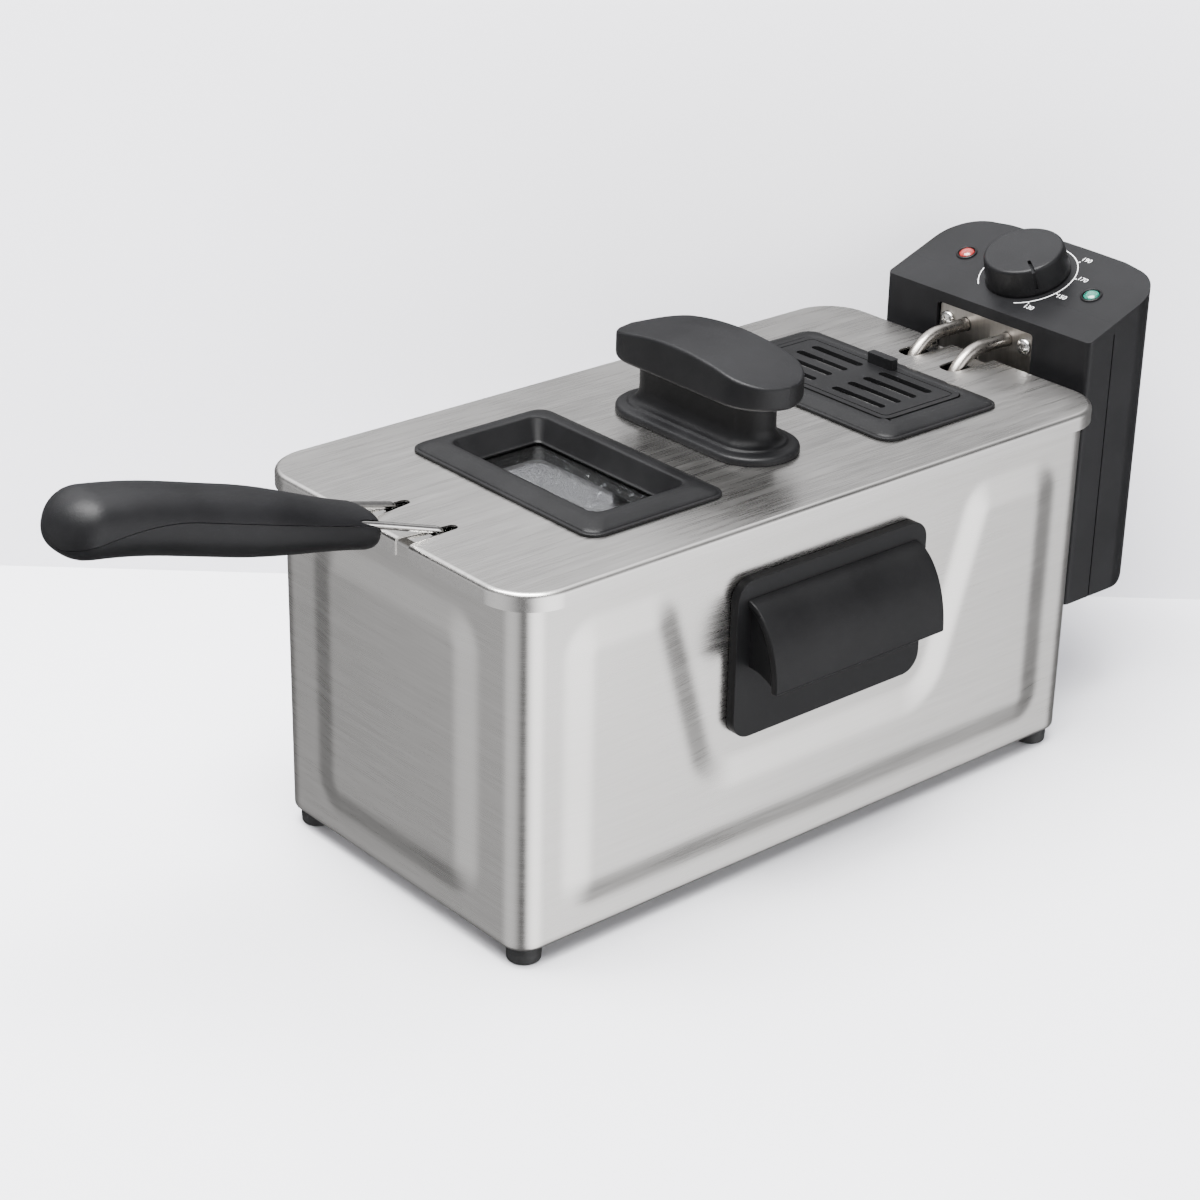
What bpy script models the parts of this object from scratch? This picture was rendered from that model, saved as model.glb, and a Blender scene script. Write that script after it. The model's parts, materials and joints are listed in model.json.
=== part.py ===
# Deep fryer: steel body, lift-out oil pan, control unit with heating element,
# frying basket with a swinging handle, and a lid with a window and a filter.
# Metres, +Z up, standing on z = 0. The control unit is at +X and the basket
# handle points to -X. Everything is laid out from the middle of the body and
# then moved along X, so that the whole object is centred on the origin.

import math

import bmesh
import bpy
from mathutils import Matrix, Vector

# --- common ---
gap = 0.0003                # between pieces that touch
sheet = 0.0010              # sheet steel of body, pan and lid
slideFit = 0.0012           # running clearance of loose, lift-out parts

# --- body ---
bodyLength = 0.364
bodyWidth = 0.184
bodyTop = 0.1866            # top edge of the body above the floor
bodyCorner = 0.012
bodyLedge = 0.026           # inward ledge at the bottom, over the feet
panelRise = 0.0022          # pressed panels, raised out of the walls
panelSlope = 0.0125         # width of their sloping edges
panelInset = 0.025          # from the body's ends
panelFrontInset = 0.0315
panelLow = 0.023
panelTopInset = 0.0206      # from the body's top edge
panelDipTop = 0.036         # room beside the handle's plate, at the top
panelDipLow = 0.007
panelDipFloor = 0.012       # below the handle's plate
footHeight = 0.009
footDiameter = 0.0165
footInset = 0.0115
ventSlot = (0.044, 0.005)
ventPitch = 0.030

# --- side handles ---
handlePlate = (0.122, 0.080)
handlePlateThick = 0.005
handleMiddle = 0.121        # height of the plate's middle
handlePlateCorner = 0.010
hoodLength = 0.110
hoodReach = 0.024
hoodDrop = 0.038
hoodThick = 0.0040
hoodTopInset = 0.009
cheekInset = 0.006
cheekThick = 0.003

# --- oil pan ---
panInset = 0.008            # from the body's outside to the pan's wall
panCorner = 0.020
panEdge = 0.012
panBottom = 0.020
rimDrop = 0.004

# --- lid ---
lidOverhang = 0.007
lidDrop = 0.0085
lidCorner = 0.025
lidEdge = 0.0025
slotDepth = 0.0225          # from the body's front to the slots' tips
slotOuter = 0.0212          # the slots' outer side at the lid's edge
slotInner = 0.0113
slotTipOuter = 0.0203
slotTipInner = 0.0150

# --- window ---
windowSize = (0.083, 0.135)
windowFrontInset = 0.0585
windowRise = 0.0052
windowOpening = (0.055, 0.107)
glassSize = (0.050, 0.100)
glassThick = 0.003
glassDepth = 0.0060         # glass top below the lid's top

# --- filter ---
filterSize = (0.081, 0.136)
filterRearInset = 0.040
filterRise = 0.0050
coverSize = (0.055, 0.107)
coverThick = 0.0022
coverFit = 0.0005
ventLength = 0.035
ventWidth = 0.0046
ventStep = 0.0109
ventRow = 0.013             # space between the two rows of vents
tabWidth = 0.0175
tabRise = 0.0055
tabThick = 0.005
trayDepth = 0.009
matThick = 0.005
coverDrop = 0.0006          # cover's underside above its ledge, so that it can swing
hingePin = 0.0018
skirtWall = 0.0022          # skirts of window and filter below the lid

# --- lid knob ---
knobShift = 0.0045          # forward of the middle between window and filter
knobBase = (0.046, 0.110)
knobStem = (0.024, 0.086)
knobGrip = (0.044, 0.112)
knobGripLow = 0.0275        # underside of the grip above the lid
knobGripEnd = 0.0380
knobGripTop = 0.0470

# --- control unit ---
controlStandoff = 0.019     # from the body's rear to the unit's front
controlWidth = 0.142
controlDepth = 0.062
controlLow = 0.064
controlFrontTop = 0.2095
controlSlope = 20.0
controlCorner = 0.024
controlHeel = 0.024
controlWall = 0.0025
controlFrontWall = 0.0055
controlSeam = 0.0185
hangerWidth = 0.060
hangerLow = 0.080
hangerHigh = 0.160
inletBore = 0.012
platePocket = 0.0036
plateSize = (0.065, 0.037)
plateThick = 0.0013
plateTop = 0.203
plateScrewSpacing = 0.054
plateScrewHeight = 0.195
screwHead = 0.0088
screwShank = 0.0034

# --- heating element ---
tubeDiameter = 0.0072
legSpacing = 0.029
legInset = 0.021            # from the body's rear to the legs
legBend = 0.022
legLift = 0.0040            # underside of the legs' bend above the pan's rim
elementHeight = 0.036
elementOuterRun = 0.052
elementInnerRun = 0.018
notchClear = 0.0024
notchFront = 0.0009
capillary = 0.0016
capillaryLift = 0.0012      # capillary above the pan's rim
bulbDiameter = 0.0064
bulbLength = 0.090
bulbLift = 0.001            # bulb above the element's runs

# --- dial knob, lamps, button ---
dialMiddle = 0.0335         # from the panel's front edge, along the slope
dialDiameter = 0.045
dialHeight = 0.0155
dialTaper = 0.0015
dialPointer = 235.0         # groove's direction, from uphill on the panel
shaftDiameter = 0.006
lampSpacing = 0.087
lampRing = 0.0115
lampLens = 0.0085
buttonDiameter = 0.008
buttonTravel = 0.002

# --- basket ---
basketFrontInset = 0.028
basketRearInset = 0.034
basketSideInset = 0.0165
basketLow = 0.056
basketHigh = 0.180
basketCorner = 0.020
basketWall = 0.0015
rimWire = 0.0040
ribWire = 0.0028

# --- basket handle ---
pivotInset = 0.019
pivotHeight = 0.178
handleWire = 0.0036
wireSpreadLow = 0.0350      # between the wires at the lid
wireSpreadHigh = 0.0280     # between the wires at the grip
wireCross = 0.0125          # where the wires leave the lid, from the body's front
wireCrossHeight = 0.1898
handleSlope = 16.8
gripStart = 0.0155          # from the body's front to the grip's root
gripLength = 0.1615
gripWidth = 0.038
gripThick = 0.029
gripRootWidth = 0.035
gripRootThick = 0.0184
gripSink = 0.0045           # grip's centre line below the wires
wireInGrip = 0.070
wireEntryBend = 0.010
earRadius = 0.0042
earThick = 0.0015

halfLength = bodyLength / 2
halfWidth = bodyWidth / 2
rimTop = bodyTop + gap + sheet
lidUnder = rimTop + gap
lidTop = lidUnder + sheet
legTop = rimTop + legLift + tubeDiameter / 2
windowX = -halfLength + windowFrontInset + windowSize[0] / 2
filterX = halfLength - filterRearInset - filterSize[0] / 2
knobX = (windowX + windowSize[0] / 2 + filterX - filterSize[0] / 2) / 2 - knobShift
controlFront = halfLength + controlStandoff
controlRear = controlFront + controlDepth
legX = halfLength - legInset
legY = legSpacing / 2
notchWidth = tubeDiameter + 2 * notchClear
capillaryY = legY + notchWidth / 2 - gap - capillary / 2
capillaryTop = rimTop + capillaryLift + capillary / 2
buttonHeight = controlLow + 0.042
inletX = controlFront + 0.036
inletY = 0.036
earY = wireSpreadLow / 2 + handleWire / 2 + earRadius
notchTip = legX - tubeDiameter / 2 - notchFront
pivotX = -halfLength + pivotInset
basketFront = -halfLength + basketFrontInset
basketRear = halfLength - basketRearInset
basketX = (basketFront + basketRear) / 2
basketLength = basketRear - basketFront
basketWidth = bodyWidth - 2 * basketSideInset
slopeAngle = math.radians(controlSlope)
gripAngle = math.radians(handleSlope)
gripRootX = -halfLength - gripStart
wireRise = math.tan(gripAngle)
gripRootZ = wireCrossHeight + (-halfLength + wireCross - gripRootX) * wireRise
gripTipX = gripRootX - gripLength * math.cos(gripAngle)
rowShift = -(controlRear + gripTipX) / 2


def clearScene():
    for item in list(bpy.data.objects):
        bpy.data.objects.remove(item, do_unlink=True)


def makeCollection(name):
    collection = bpy.data.collections.new(name)
    bpy.context.scene.collection.children.link(collection)
    return collection


clearScene()
partCollection = makeCollection("deep_fryer")
cutterCollection = makeCollection("cutters")
materials = {}


def material(name, colour, roughness, metallic=0.0, alpha=1.0):
    made = bpy.data.materials.new(name)
    made.use_nodes = True
    shader = made.node_tree.nodes["Principled BSDF"]
    shader.inputs["Base Color"].default_value = (*colour, 1.0)
    shader.inputs["Roughness"].default_value = roughness
    shader.inputs["Metallic"].default_value = metallic
    shader.inputs["Alpha"].default_value = alpha
    materials[name] = made


material("brushed_steel", (0.62, 0.61, 0.59), 0.32, 1.0)
material("polished_steel", (0.70, 0.69, 0.67), 0.15, 1.0)
material("black_plastic", (0.030, 0.030, 0.031), 0.45)
material("soft_black", (0.026, 0.026, 0.027), 0.55)
material("rubber", (0.020, 0.020, 0.020), 0.75)
material("grey_glass", (0.22, 0.22, 0.23), 0.08, 0.0, 0.6)
material("filter_felt", (0.55, 0.54, 0.50), 0.95)
material("red_lens", (0.55, 0.05, 0.05), 0.2)
material("green_lens", (0.04, 0.33, 0.24), 0.2)
material("red_button", (0.50, 0.04, 0.03), 0.4)
material("bare_wire", (0.66, 0.65, 0.63), 0.22, 1.0)


# --- bodies that move: empties on their joints' axes ---

origin = bpy.data.objects.new("fryer_origin", None)
origin.location = (rowShift, 0, 0)
partCollection.objects.link(origin)


def bodyEmpty(name, location, tilt=0.0):
    empty = bpy.data.objects.new(name, None)
    partCollection.objects.link(empty)
    empty.parent = origin
    empty.matrix_basis = Matrix.Translation(location) @ Matrix.Rotation(tilt, 4, "Y")
    return empty


def panelPoint(along, across, above=0.0):
    x = controlFront + along * math.cos(slopeAngle) - above * math.sin(slopeAngle)
    z = controlFrontTop + along * math.sin(slopeAngle) + above * math.cos(slopeAngle)
    return Vector((x, across, z))


# --- outlines ---

def arcPoints(middleX, middleY, radiusX, radiusY, start, stop, steps):
    points = []
    for i in range(steps + 1):
        angle = math.radians(start + (stop - start) * i / steps)
        points.append((middleX + radiusX * math.cos(angle), middleY + radiusY * math.sin(angle)))
    return points


def roundedRectangle(sizeX, sizeY, radius, middleX=0.0, middleY=0.0, steps=4):
    reachX = sizeX / 2 - radius
    reachY = sizeY / 2 - radius
    points = []
    for signX, signY, start in ((1, 1, 0), (-1, 1, 90), (-1, -1, 180), (1, -1, 270)):
        x = middleX + signX * reachX
        y = middleY + signY * reachY
        points += arcPoints(x, y, radius, radius, start, start + 90, steps)
    return points


def circlePoints(middleX, middleY, radius, steps=16):
    return arcPoints(middleX, middleY, radius, radius, 0, 360, steps)[:-1]


def roundCorner(before, corner, after, radius, steps):
    """Points of an arc that rounds one corner of a route."""
    back = (before - corner).normalized()
    ahead = (after - corner).normalized()
    turn = math.pi - back.angle(ahead)
    if turn < 0.01:
        return [corner]
    inset = radius * math.tan(turn / 2)
    middle = corner + (back + ahead).normalized() * radius / math.cos(turn / 2)
    first = corner + back * inset - middle
    last = corner + ahead * inset - middle
    arc = []
    for step in range(steps + 1):
        arc.append(middle + first.slerp(last, step / steps).normalized() * radius)
    return arc


def filletRoute(corners, radii, steps=5):
    """A route through corner points, each corner rounded with its own radius."""
    spots = [Vector(corner) for corner in corners]
    route = [spots[0]]
    for i in range(1, len(spots) - 1):
        radius = radii[i - 1] if isinstance(radii, (list, tuple)) else radii
        route += roundCorner(spots[i - 1], spots[i], spots[i + 1], radius, steps)
    route.append(spots[-1])
    return route


def roundedOutline(corners, radius, steps=4):
    """A closed flat outline with every corner rounded."""
    spots = [Vector((u, v, 0)) for u, v in corners]
    points = []
    for i, spot in enumerate(spots):
        after = spots[(i + 1) % len(spots)]
        points += [(p.x, p.y) for p in roundCorner(spots[i - 1], spot, after, radius, steps)]
    return points


# --- making objects ---

def finish(item, owner, materialName=None, smooth=True):
    """Put a piece in the model, colour it and tie it to the body it moves with."""
    partCollection.objects.link(item)
    item.parent = owner
    item.matrix_parent_inverse = owner.matrix_basis.inverted()
    item.data.materials.clear()
    item.data.materials.append(materials[materialName])
    if smooth and item.type == "MESH":
        item.data.shade_smooth()
        item.data.set_sharp_from_angle(angle=math.radians(35))
    return item


def asCutter(item):
    cutterCollection.objects.link(item)
    item.parent = origin
    item.hide_render = True
    item.display_type = "WIRE"
    return item


def meshFromCurve(curveObject):
    bpy.context.scene.collection.objects.link(curveObject)
    bpy.context.view_layer.update()
    evaluated = curveObject.evaluated_get(bpy.context.evaluated_depsgraph_get())
    mesh = bpy.data.meshes.new_from_object(evaluated)
    bm = bmesh.new()
    bm.from_mesh(mesh)
    bmesh.ops.remove_doubles(bm, verts=bm.verts, dist=0.000002)
    bmesh.ops.recalc_face_normals(bm, faces=bm.faces)
    bm.to_mesh(mesh)
    bm.free()
    name = curveObject.name
    place = curveObject.matrix_world.copy()
    bpy.data.objects.remove(curveObject)
    made = bpy.data.objects.new(name, mesh)
    made.matrix_world = place
    return made


axisTurns = {
    "Z": Matrix.Identity(4),
    "Y": Matrix(((1, 0, 0, 0), (0, 0, -1, 0), (0, 1, 0, 0), (0, 0, 0, 1))),
    "X": Matrix(((0, 0, 1, 0), (1, 0, 0, 0), (0, 1, 0, 0), (0, 0, 0, 1))),
}


def slab(name, outlines, low, high, axis="Z"):
    """A flat outline, with any holes, thickened from low to high along an axis."""
    curve = bpy.data.curves.new(name, "CURVE")
    curve.dimensions = "2D"
    curve.fill_mode = "BOTH"
    curve.extrude = (high - low) / 2
    for outline in outlines:
        spline = curve.splines.new("POLY")
        spline.points.add(len(outline) - 1)
        for point, (u, v) in zip(spline.points, outline):
            point.co = (u, v, 0.0, 1.0)
        spline.use_cyclic_u = True
    item = bpy.data.objects.new(name, curve)
    middle = (low + high) / 2
    along = {"X": (middle, 0, 0), "Y": (0, middle, 0), "Z": (0, 0, middle)}[axis]
    item.matrix_world = Matrix.Translation(along) @ axisTurns[axis]
    return meshFromCurve(item)


def wire(name, points, diameter, closed=False, resolution=2):
    curve = bpy.data.curves.new(name, "CURVE")
    curve.dimensions = "3D"
    curve.bevel_depth = diameter / 2
    curve.bevel_resolution = resolution
    curve.use_fill_caps = not closed
    spline = curve.splines.new("POLY")
    spline.points.add(len(points) - 1)
    for point, place in zip(spline.points, points):
        point.co = (*place, 1.0)
    spline.use_cyclic_u = closed
    spline.use_smooth = True
    return bpy.data.objects.new(name, curve)


def loft(name, rings, capFirst=True, capLast=True, closed=False):
    """Skin a stack of rings that all have the same number of points."""
    bm = bmesh.new()
    loops = [[bm.verts.new(point) for point in ring] for ring in rings]
    pairs = list(zip(loops, loops[1:]))
    if closed:
        pairs.append((loops[-1], loops[0]))
    count = len(loops[0])
    for lower, upper in pairs:
        for i in range(count):
            k = (i + 1) % count
            bm.faces.new((lower[i], lower[k], upper[k], upper[i]))
    if capFirst and not closed:
        bm.faces.new(list(reversed(loops[0])))
    if capLast and not closed:
        bm.faces.new(loops[-1])
    bmesh.ops.remove_doubles(bm, verts=bm.verts, dist=0.000002)
    mesh = bpy.data.meshes.new(name)
    bm.to_mesh(mesh)
    bm.free()
    return bpy.data.objects.new(name, mesh)


def ring(size, radius, height, middle=(0.0, 0.0), steps=4):
    points = roundedRectangle(size[0], size[1], radius, middle[0], middle[1], steps)
    return [(x, y, height) for x, y in points]


def turned(name, profile, steps=20):
    """A turned shape about local Z; the profile runs down its outer side."""
    bm = bmesh.new()
    verts = [bm.verts.new((radius, 0.0, height)) for radius, height in profile]
    for first, second in zip(verts, verts[1:]):
        bm.edges.new((first, second))
    mesh = bpy.data.meshes.new(name)
    bm.to_mesh(mesh)
    bm.free()
    item = bpy.data.objects.new(name, mesh)
    screw = item.modifiers.new("turn", "SCREW")
    screw.steps = steps
    screw.render_steps = steps
    screw.use_merge_vertices = True
    screw.merge_threshold = 0.00001
    return item


def pinProfile(diameter, low, high, chamfer=0.0):
    radius = diameter / 2
    return [(0, high), (radius - chamfer, high), (radius, high - chamfer), (radius, low), (0, low)]


def solidify(item, thickness):
    modifier = item.modifiers.new("wall", "SOLIDIFY")
    modifier.thickness = thickness
    modifier.offset = -1.0
    modifier.use_even_offset = True


def bevel(item, width, segments=2, angle=40):
    modifier = item.modifiers.new("edges", "BEVEL")
    modifier.width = width
    modifier.segments = segments
    modifier.limit_method = "ANGLE"
    modifier.angle_limit = math.radians(angle)


def combine(item, tool, operation):
    asCutter(tool)
    modifier = item.modifiers.new(operation.lower(), "BOOLEAN")
    modifier.object = tool
    modifier.operation = operation


def cut(item, tool):
    combine(item, tool, "DIFFERENCE")


def join(item, tool):
    combine(item, tool, "UNION")


def place(item, location, tilt=0.0, axis="Y"):
    item.matrix_world = Matrix.Translation(location) @ Matrix.Rotation(tilt, 4, axis)
    return item


def blockTool(name, low, high):
    outline = [(low[0], low[1]), (high[0], low[1]), (high[0], high[1]), (low[0], high[1])]
    return slab(name, [outline], low[2], high[2])


housing = bodyEmpty("housing_body", (0, 0, 0))
panBody = bodyEmpty("pan_body", (0, 0, panBottom))
controlBody = bodyEmpty("control_body", (controlFront, 0, controlLow))
dialBody = bodyEmpty("dial_body", panelPoint(dialMiddle, 0), -slopeAngle)
buttonBody = bodyEmpty("button_body", (controlRear, 0, controlLow))
basketBody = bodyEmpty("basket_body", (basketX, 0, basketLow))
handleBody = bodyEmpty("handle_body", (pivotX, 0, pivotHeight))
lidBody = bodyEmpty("lid_body", (0, 0, lidTop))
coverBody = bodyEmpty("cover_body", (filterX - coverSize[0] / 2, 0, lidTop + filterRise))


# --- body ---

def pressing(name, outline, side, axis, steps):
    """A low frustum on one wall; steps are pairs of inset and distance from the wall."""
    reach = halfWidth if axis == "Y" else halfLength
    rings = []
    for inset, rise in steps:
        height = side * (reach + rise)
        flat = [(-side * u, v) if axis == "Y" else (side * u, v) for u, v in outline(inset)]
        rings.append([(u, height, v) if axis == "Y" else (height, u, v) for u, v in flat])
    return loft(name, rings)


def pressPanel(shell, word, outline, side, axis):
    """A pressed panel: raised outside and hollow behind, as sheet metal is."""
    outside = [(-0.002, -sheet / 2), (0, 0), (panelSlope, panelRise)]
    inside = [(-0.004, -sheet - 0.001), (0, -sheet), (panelSlope, panelRise - sheet)]
    join(shell, pressing("panel_" + word, outline, side, axis, outside))
    cut(shell, pressing("panel_hollow_" + word, outline, side, axis, inside))


def sideOutline(inset):
    """Outline of a side panel, with a dip around the handle."""
    left = halfLength - panelInset - inset
    low = panelLow + inset
    high = bodyTop - panelTopInset - inset
    dipTop = handlePlate[0] / 2 + panelDipTop + inset
    dipLow = handlePlate[0] / 2 + panelDipLow + inset
    floor = handleMiddle - handlePlate[1] / 2 - panelDipFloor - inset
    corners = [(-left, low), (left, low), (left, high), (dipTop, high), (dipLow, floor),
               (-dipLow, floor), (-dipTop, high), (-left, high)]
    return roundedOutline(corners, 0.016)


def frontOutline(inset):
    high = bodyTop - panelTopInset
    size = (bodyWidth - 2 * panelFrontInset - 2 * inset, high - panelLow - 2 * inset)
    return roundedRectangle(size[0], size[1], 0.018, 0, (high + panelLow) / 2)


def makeBody():
    ledge = (bodyLength - 2 * bodyLedge, bodyWidth - 2 * bodyLedge)
    full = (bodyLength, bodyWidth)
    rings = [ring(ledge, bodyCorner * 0.6, footHeight), ring(full, bodyCorner, footHeight),
             ring(full, bodyCorner, bodyTop)]
    shell = loft("outer_housing", rings, capFirst=False, capLast=False)
    solidify(shell, sheet)
    pressPanel(shell, "near", sideOutline, -1, "Y")
    pressPanel(shell, "far", sideOutline, 1, "Y")
    pressPanel(shell, "front", frontOutline, -1, "X")
    finish(shell, housing, "brushed_steel")


def makeBasePlate():
    size = (bodyLength - 2 * sheet - 2 * gap, bodyWidth - 2 * sheet - 2 * gap)
    outlines = [roundedRectangle(size[0], size[1], bodyCorner - sheet - gap)]
    for row in (-1, 1):
        for column in range(-2, 3):
            outlines.append(roundedRectangle(ventSlot[1], ventSlot[0], ventSlot[1] * 0.42,
                                             column * ventPitch, row * ventSlot[0] * 0.62, 2))
    low = footHeight + sheet + gap
    finish(slab("base_plate", outlines, low, low + sheet), housing, "brushed_steel")


def makeFeet():
    radius = footDiameter / 2
    top = footHeight - gap
    profile = [(0, top), (radius * 0.92, top), (radius, top * 0.6), (radius, 0.0015),
               (radius - 0.0015, 0), (0, 0)]
    for signX, lengthWord in ((-1, "front"), (1, "rear")):
        for signY, widthWord in ((-1, "near"), (1, "far")):
            foot = turned("foot_%s_%s" % (lengthWord, widthWord), profile, 16)
            spot = (signX * (halfLength - footInset), signY * (halfWidth - footInset), 0)
            finish(place(foot, spot), housing, "rubber")


# --- side handles ---

def hoodBand(side, start, thick, steps):
    """Section of the hood: a curved band from the plate's top out and down."""
    outer = arcPoints(0, 0, hoodReach, hoodDrop, 0, 84, steps)
    inner = arcPoints(0, 0, hoodReach - thick, hoodDrop - thick, 84, 0, steps)
    top = handleMiddle + handlePlate[1] / 2 - hoodTopInset
    return [(side * (start + y), top - hoodDrop + z) for y, z in outer + inner]


def makeSideHandle(side, word):
    face = halfWidth + gap
    outline = roundedRectangle(handlePlate[0], handlePlate[1], handlePlateCorner, 0, handleMiddle)
    faces = sorted((side * face, side * (face + handlePlateThick)))
    grip = slab("side_handle_" + word, [outline], faces[0], faces[1], "Y")
    bevel(grip, 0.0016, 2)
    start = face + handlePlateThick - 0.003
    hood = slab("hood_" + word, [hoodBand(side, start, hoodThick, 8)],
                -hoodLength / 2, hoodLength / 2, "X")
    join(grip, hood)
    top = handleMiddle + handlePlate[1] / 2 - hoodTopInset - hoodThick / 2
    low = top - hoodDrop
    reach = hoodReach - hoodThick / 2
    curve = arcPoints(0, 0, reach, hoodDrop, 4, 88, 6)
    cheek = [(side * (start + y), low + z) for y, z in curve]
    cheek += [(side * (start - 0.001), top), (side * (start - 0.001), low + 0.008),
              (side * (start + reach * 0.45), low + 0.010)]
    for end in (-1, 1):
        x = end * (hoodLength / 2 - cheekInset)
        ends = sorted((x, x - end * cheekThick))
        join(grip, slab("cheek_" + word, [cheek], ends[0], ends[1], "X"))
    finish(grip, housing, "black_plastic")


def makeHandleScrews(side, word):
    """Two pan-head screws from inside the body, one at each end of the plate."""
    for end, endWord in ((-1, "front"), (1, "rear")):
        head = halfWidth - sheet - gap
        profile = [(0, 0.0022), (0.0025, 0.0020), (0.0036, 0.0010), (0.0036, 0), (0, 0)]
        screw = turned("handle_screw_%s_%s" % (word, endWord), profile, 12)
        spot = (end * handlePlate[0] * 0.38, side * head, handleMiddle)
        finish(place(screw, spot, side * math.pi / 2, "X"), housing, "polished_steel")


def makeRearBracket():
    """Channel on the body's rear that the control unit's hanger slides down into."""
    face = halfLength + gap
    half = hangerWidth / 2 + slideFit
    depth = controlStandoff * 0.6
    outline = [(face, -half - 0.0015), (face + depth, -half - 0.0015), (face + depth, -half),
               (face + 0.0015, -half), (face + 0.0015, half), (face + depth, half),
               (face + depth, half + 0.0015), (face, half + 0.0015)]
    bracket = slab("rear_bracket", [outline], hangerLow - 0.0015, hangerHigh)
    tab = blockTool("bracket_tab", (face + 0.0005, -half - 0.0005, hangerLow - 0.0015),
                    (face + depth, half + 0.0005, hangerLow - gap))
    join(bracket, tab)
    finish(bracket, housing, "brushed_steel", smooth=False)


# --- oil pan ---

def panRings():
    size = (bodyLength - 2 * panInset, bodyWidth - 2 * panInset)
    lip = (bodyLength + 2 * gap, bodyWidth + 2 * gap)
    rings = []
    for i in range(4):
        angle = math.radians(90 * i / 3)
        inset = panEdge * (1 - math.sin(angle))
        height = panBottom + panEdge * (1 - math.cos(angle))
        around = (size[0] - 2 * inset, size[1] - 2 * inset)
        rings.append(ring(around, panCorner - inset, height))
    under = bodyTop + gap
    rings.append(ring(size, panCorner, under))
    rings.append(ring(lip, bodyCorner + gap, under))
    rings.append(ring(lip, bodyCorner + gap, under - rimDrop))
    return rings


def makePan():
    pan = loft("oil_pan", panRings(), capFirst=True, capLast=False)
    solidify(pan, sheet)
    finish(pan, panBody, "polished_steel")


# --- control unit ---

def controlPlan(inset, front):
    """Plan of the unit: square front, well-rounded and slightly bowed rear."""
    half = controlWidth / 2 - inset
    rear = controlRear - inset
    radius = controlCorner - inset
    small = max(0.003 - inset, 0.0006)
    bow = 0.0022
    points = arcPoints(front + small, -half + small, small, small, 180, 270, 2)
    points += arcPoints(rear - bow - radius, -half + radius, radius, radius, 270, 352, 6)
    points.append((rear, 0))
    points += arcPoints(rear - bow - radius, half - radius, radius, radius, 8, 90, 6)
    points += arcPoints(front + small, half - small, small, small, 90, 180, 2)
    return points


def controlSide(inset, front):
    """Side view of the unit: sloping top and a rounded heel."""
    rear = controlRear + 0.01
    low = controlLow + inset
    heelX = controlRear - inset - controlHeel + inset
    radius = controlHeel - inset
    rise = math.tan(slopeAngle)
    top = controlFrontTop - inset / math.cos(slopeAngle)
    points = [(front, top + (front - controlFront) * rise), (front, low)]
    if inset == 0:
        points[0] = (front, top)
    points += arcPoints(heelX, low + radius, radius, radius, 270, 360, 6)
    points.append((controlRear - inset, low + radius + 0.001))
    points.append((rear, low + radius + 0.002))
    points.append((rear, top + (rear - controlFront) * rise))
    return points


def controlSolid(name, inset, front):
    plan = slab(name, [controlPlan(inset, front)], 0.0, controlFrontTop + 0.05)
    profile = slab(name + "_side", [controlSide(inset, front)], -0.1, 0.1, "Y")
    combine(plan, profile, "INTERSECT")
    return plan


def panelTool(name, diameter, across, low=-0.01, high=0.01):
    tool = turned(name, pinProfile(diameter, low, high), 20)
    return place(tool, panelPoint(dialMiddle, across), -slopeAngle)


def wallTool(name, diameter, across, height, low, high):
    tool = turned(name, pinProfile(diameter, low, high), 14)
    return place(tool, (controlFront, across, height), math.pi / 2)


def makeControlShells():
    seam = controlFront + controlSeam
    low, high = (-1, 0, 0), (1, 1, 1)
    front = controlSolid("control_front", 0, controlFront)
    cavity = controlSolid("front_cavity", controlWall, controlFront + controlFrontWall)
    cut(front, cavity)
    rear = controlSolid("control_rear", 0, controlFront)
    rearCavity = controlSolid("rear_cavity", controlWall, controlFront + controlFrontWall)
    cut(rear, rearCavity)
    cut(front, blockTool("seam_behind", (seam, -0.1, 0), (seam + 0.1, 0.1, 0.3)))
    cut(rear, blockTool("seam_ahead", (seam - 0.1, -0.1, 0), (seam + gap, 0.1, 0.3)))
    pocketOutline = roundedRectangle(plateSize[0] + 2 * gap + 0.0012, plateSize[1] + 0.0012,
                                     0.002, 0, plateTop - plateSize[1] / 2, 2)
    cut(front, slab("plate_pocket", [pocketOutline], controlFront - 0.01,
                    controlFront + platePocket, "X"))
    for side in (-1, 1):
        cut(front, wallTool("tube_hole", tubeDiameter + 2 * gap, side * legY, legTop,
                            0, controlFrontWall + 0.002))
        cut(front, wallTool("screw_pilot", screwShank + 2 * gap, side * plateScrewSpacing / 2,
                            plateScrewHeight, 0, controlFrontWall + 0.002))
        cut(rear, panelTool("lamp_hole", lampLens + 2 * gap, side * lampSpacing / 2))
    cut(front, wallTool("capillary_hole", capillary + 2 * gap, capillaryY, capillaryTop,
                        0, controlFrontWall + 0.002))
    cut(rear, panelTool("shaft_hole", shaftDiameter + 2 * gap, 0))
    buttonHole = turned("button_hole", pinProfile(buttonDiameter + 2 * gap, -0.01, 0.01), 14)
    cut(rear, place(buttonHole, (controlRear, 0, buttonHeight), math.pi / 2))
    inletHole = turned("inlet_hole", pinProfile(inletBore + 2 * gap, -0.01, 0.01), 14)
    cut(rear, place(inletHole, (inletX, inletY, controlLow), 0))
    finish(front, controlBody, "black_plastic")
    finish(rear, controlBody, "black_plastic")


def makeHanger():
    """Block behind the unit's front that hangs in the rear bracket."""
    low = halfLength + gap + 0.0015 + slideFit
    high = controlFront - gap
    outline = [(low, -hangerWidth / 2), (high, -hangerWidth / 2), (high, hangerWidth / 2),
               (low, hangerWidth / 2)]
    hanger = slab("control_hanger", [outline], hangerLow, hangerHigh)
    bevel(hanger, 0.001, 1)
    finish(hanger, controlBody, "black_plastic", smooth=False)


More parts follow.
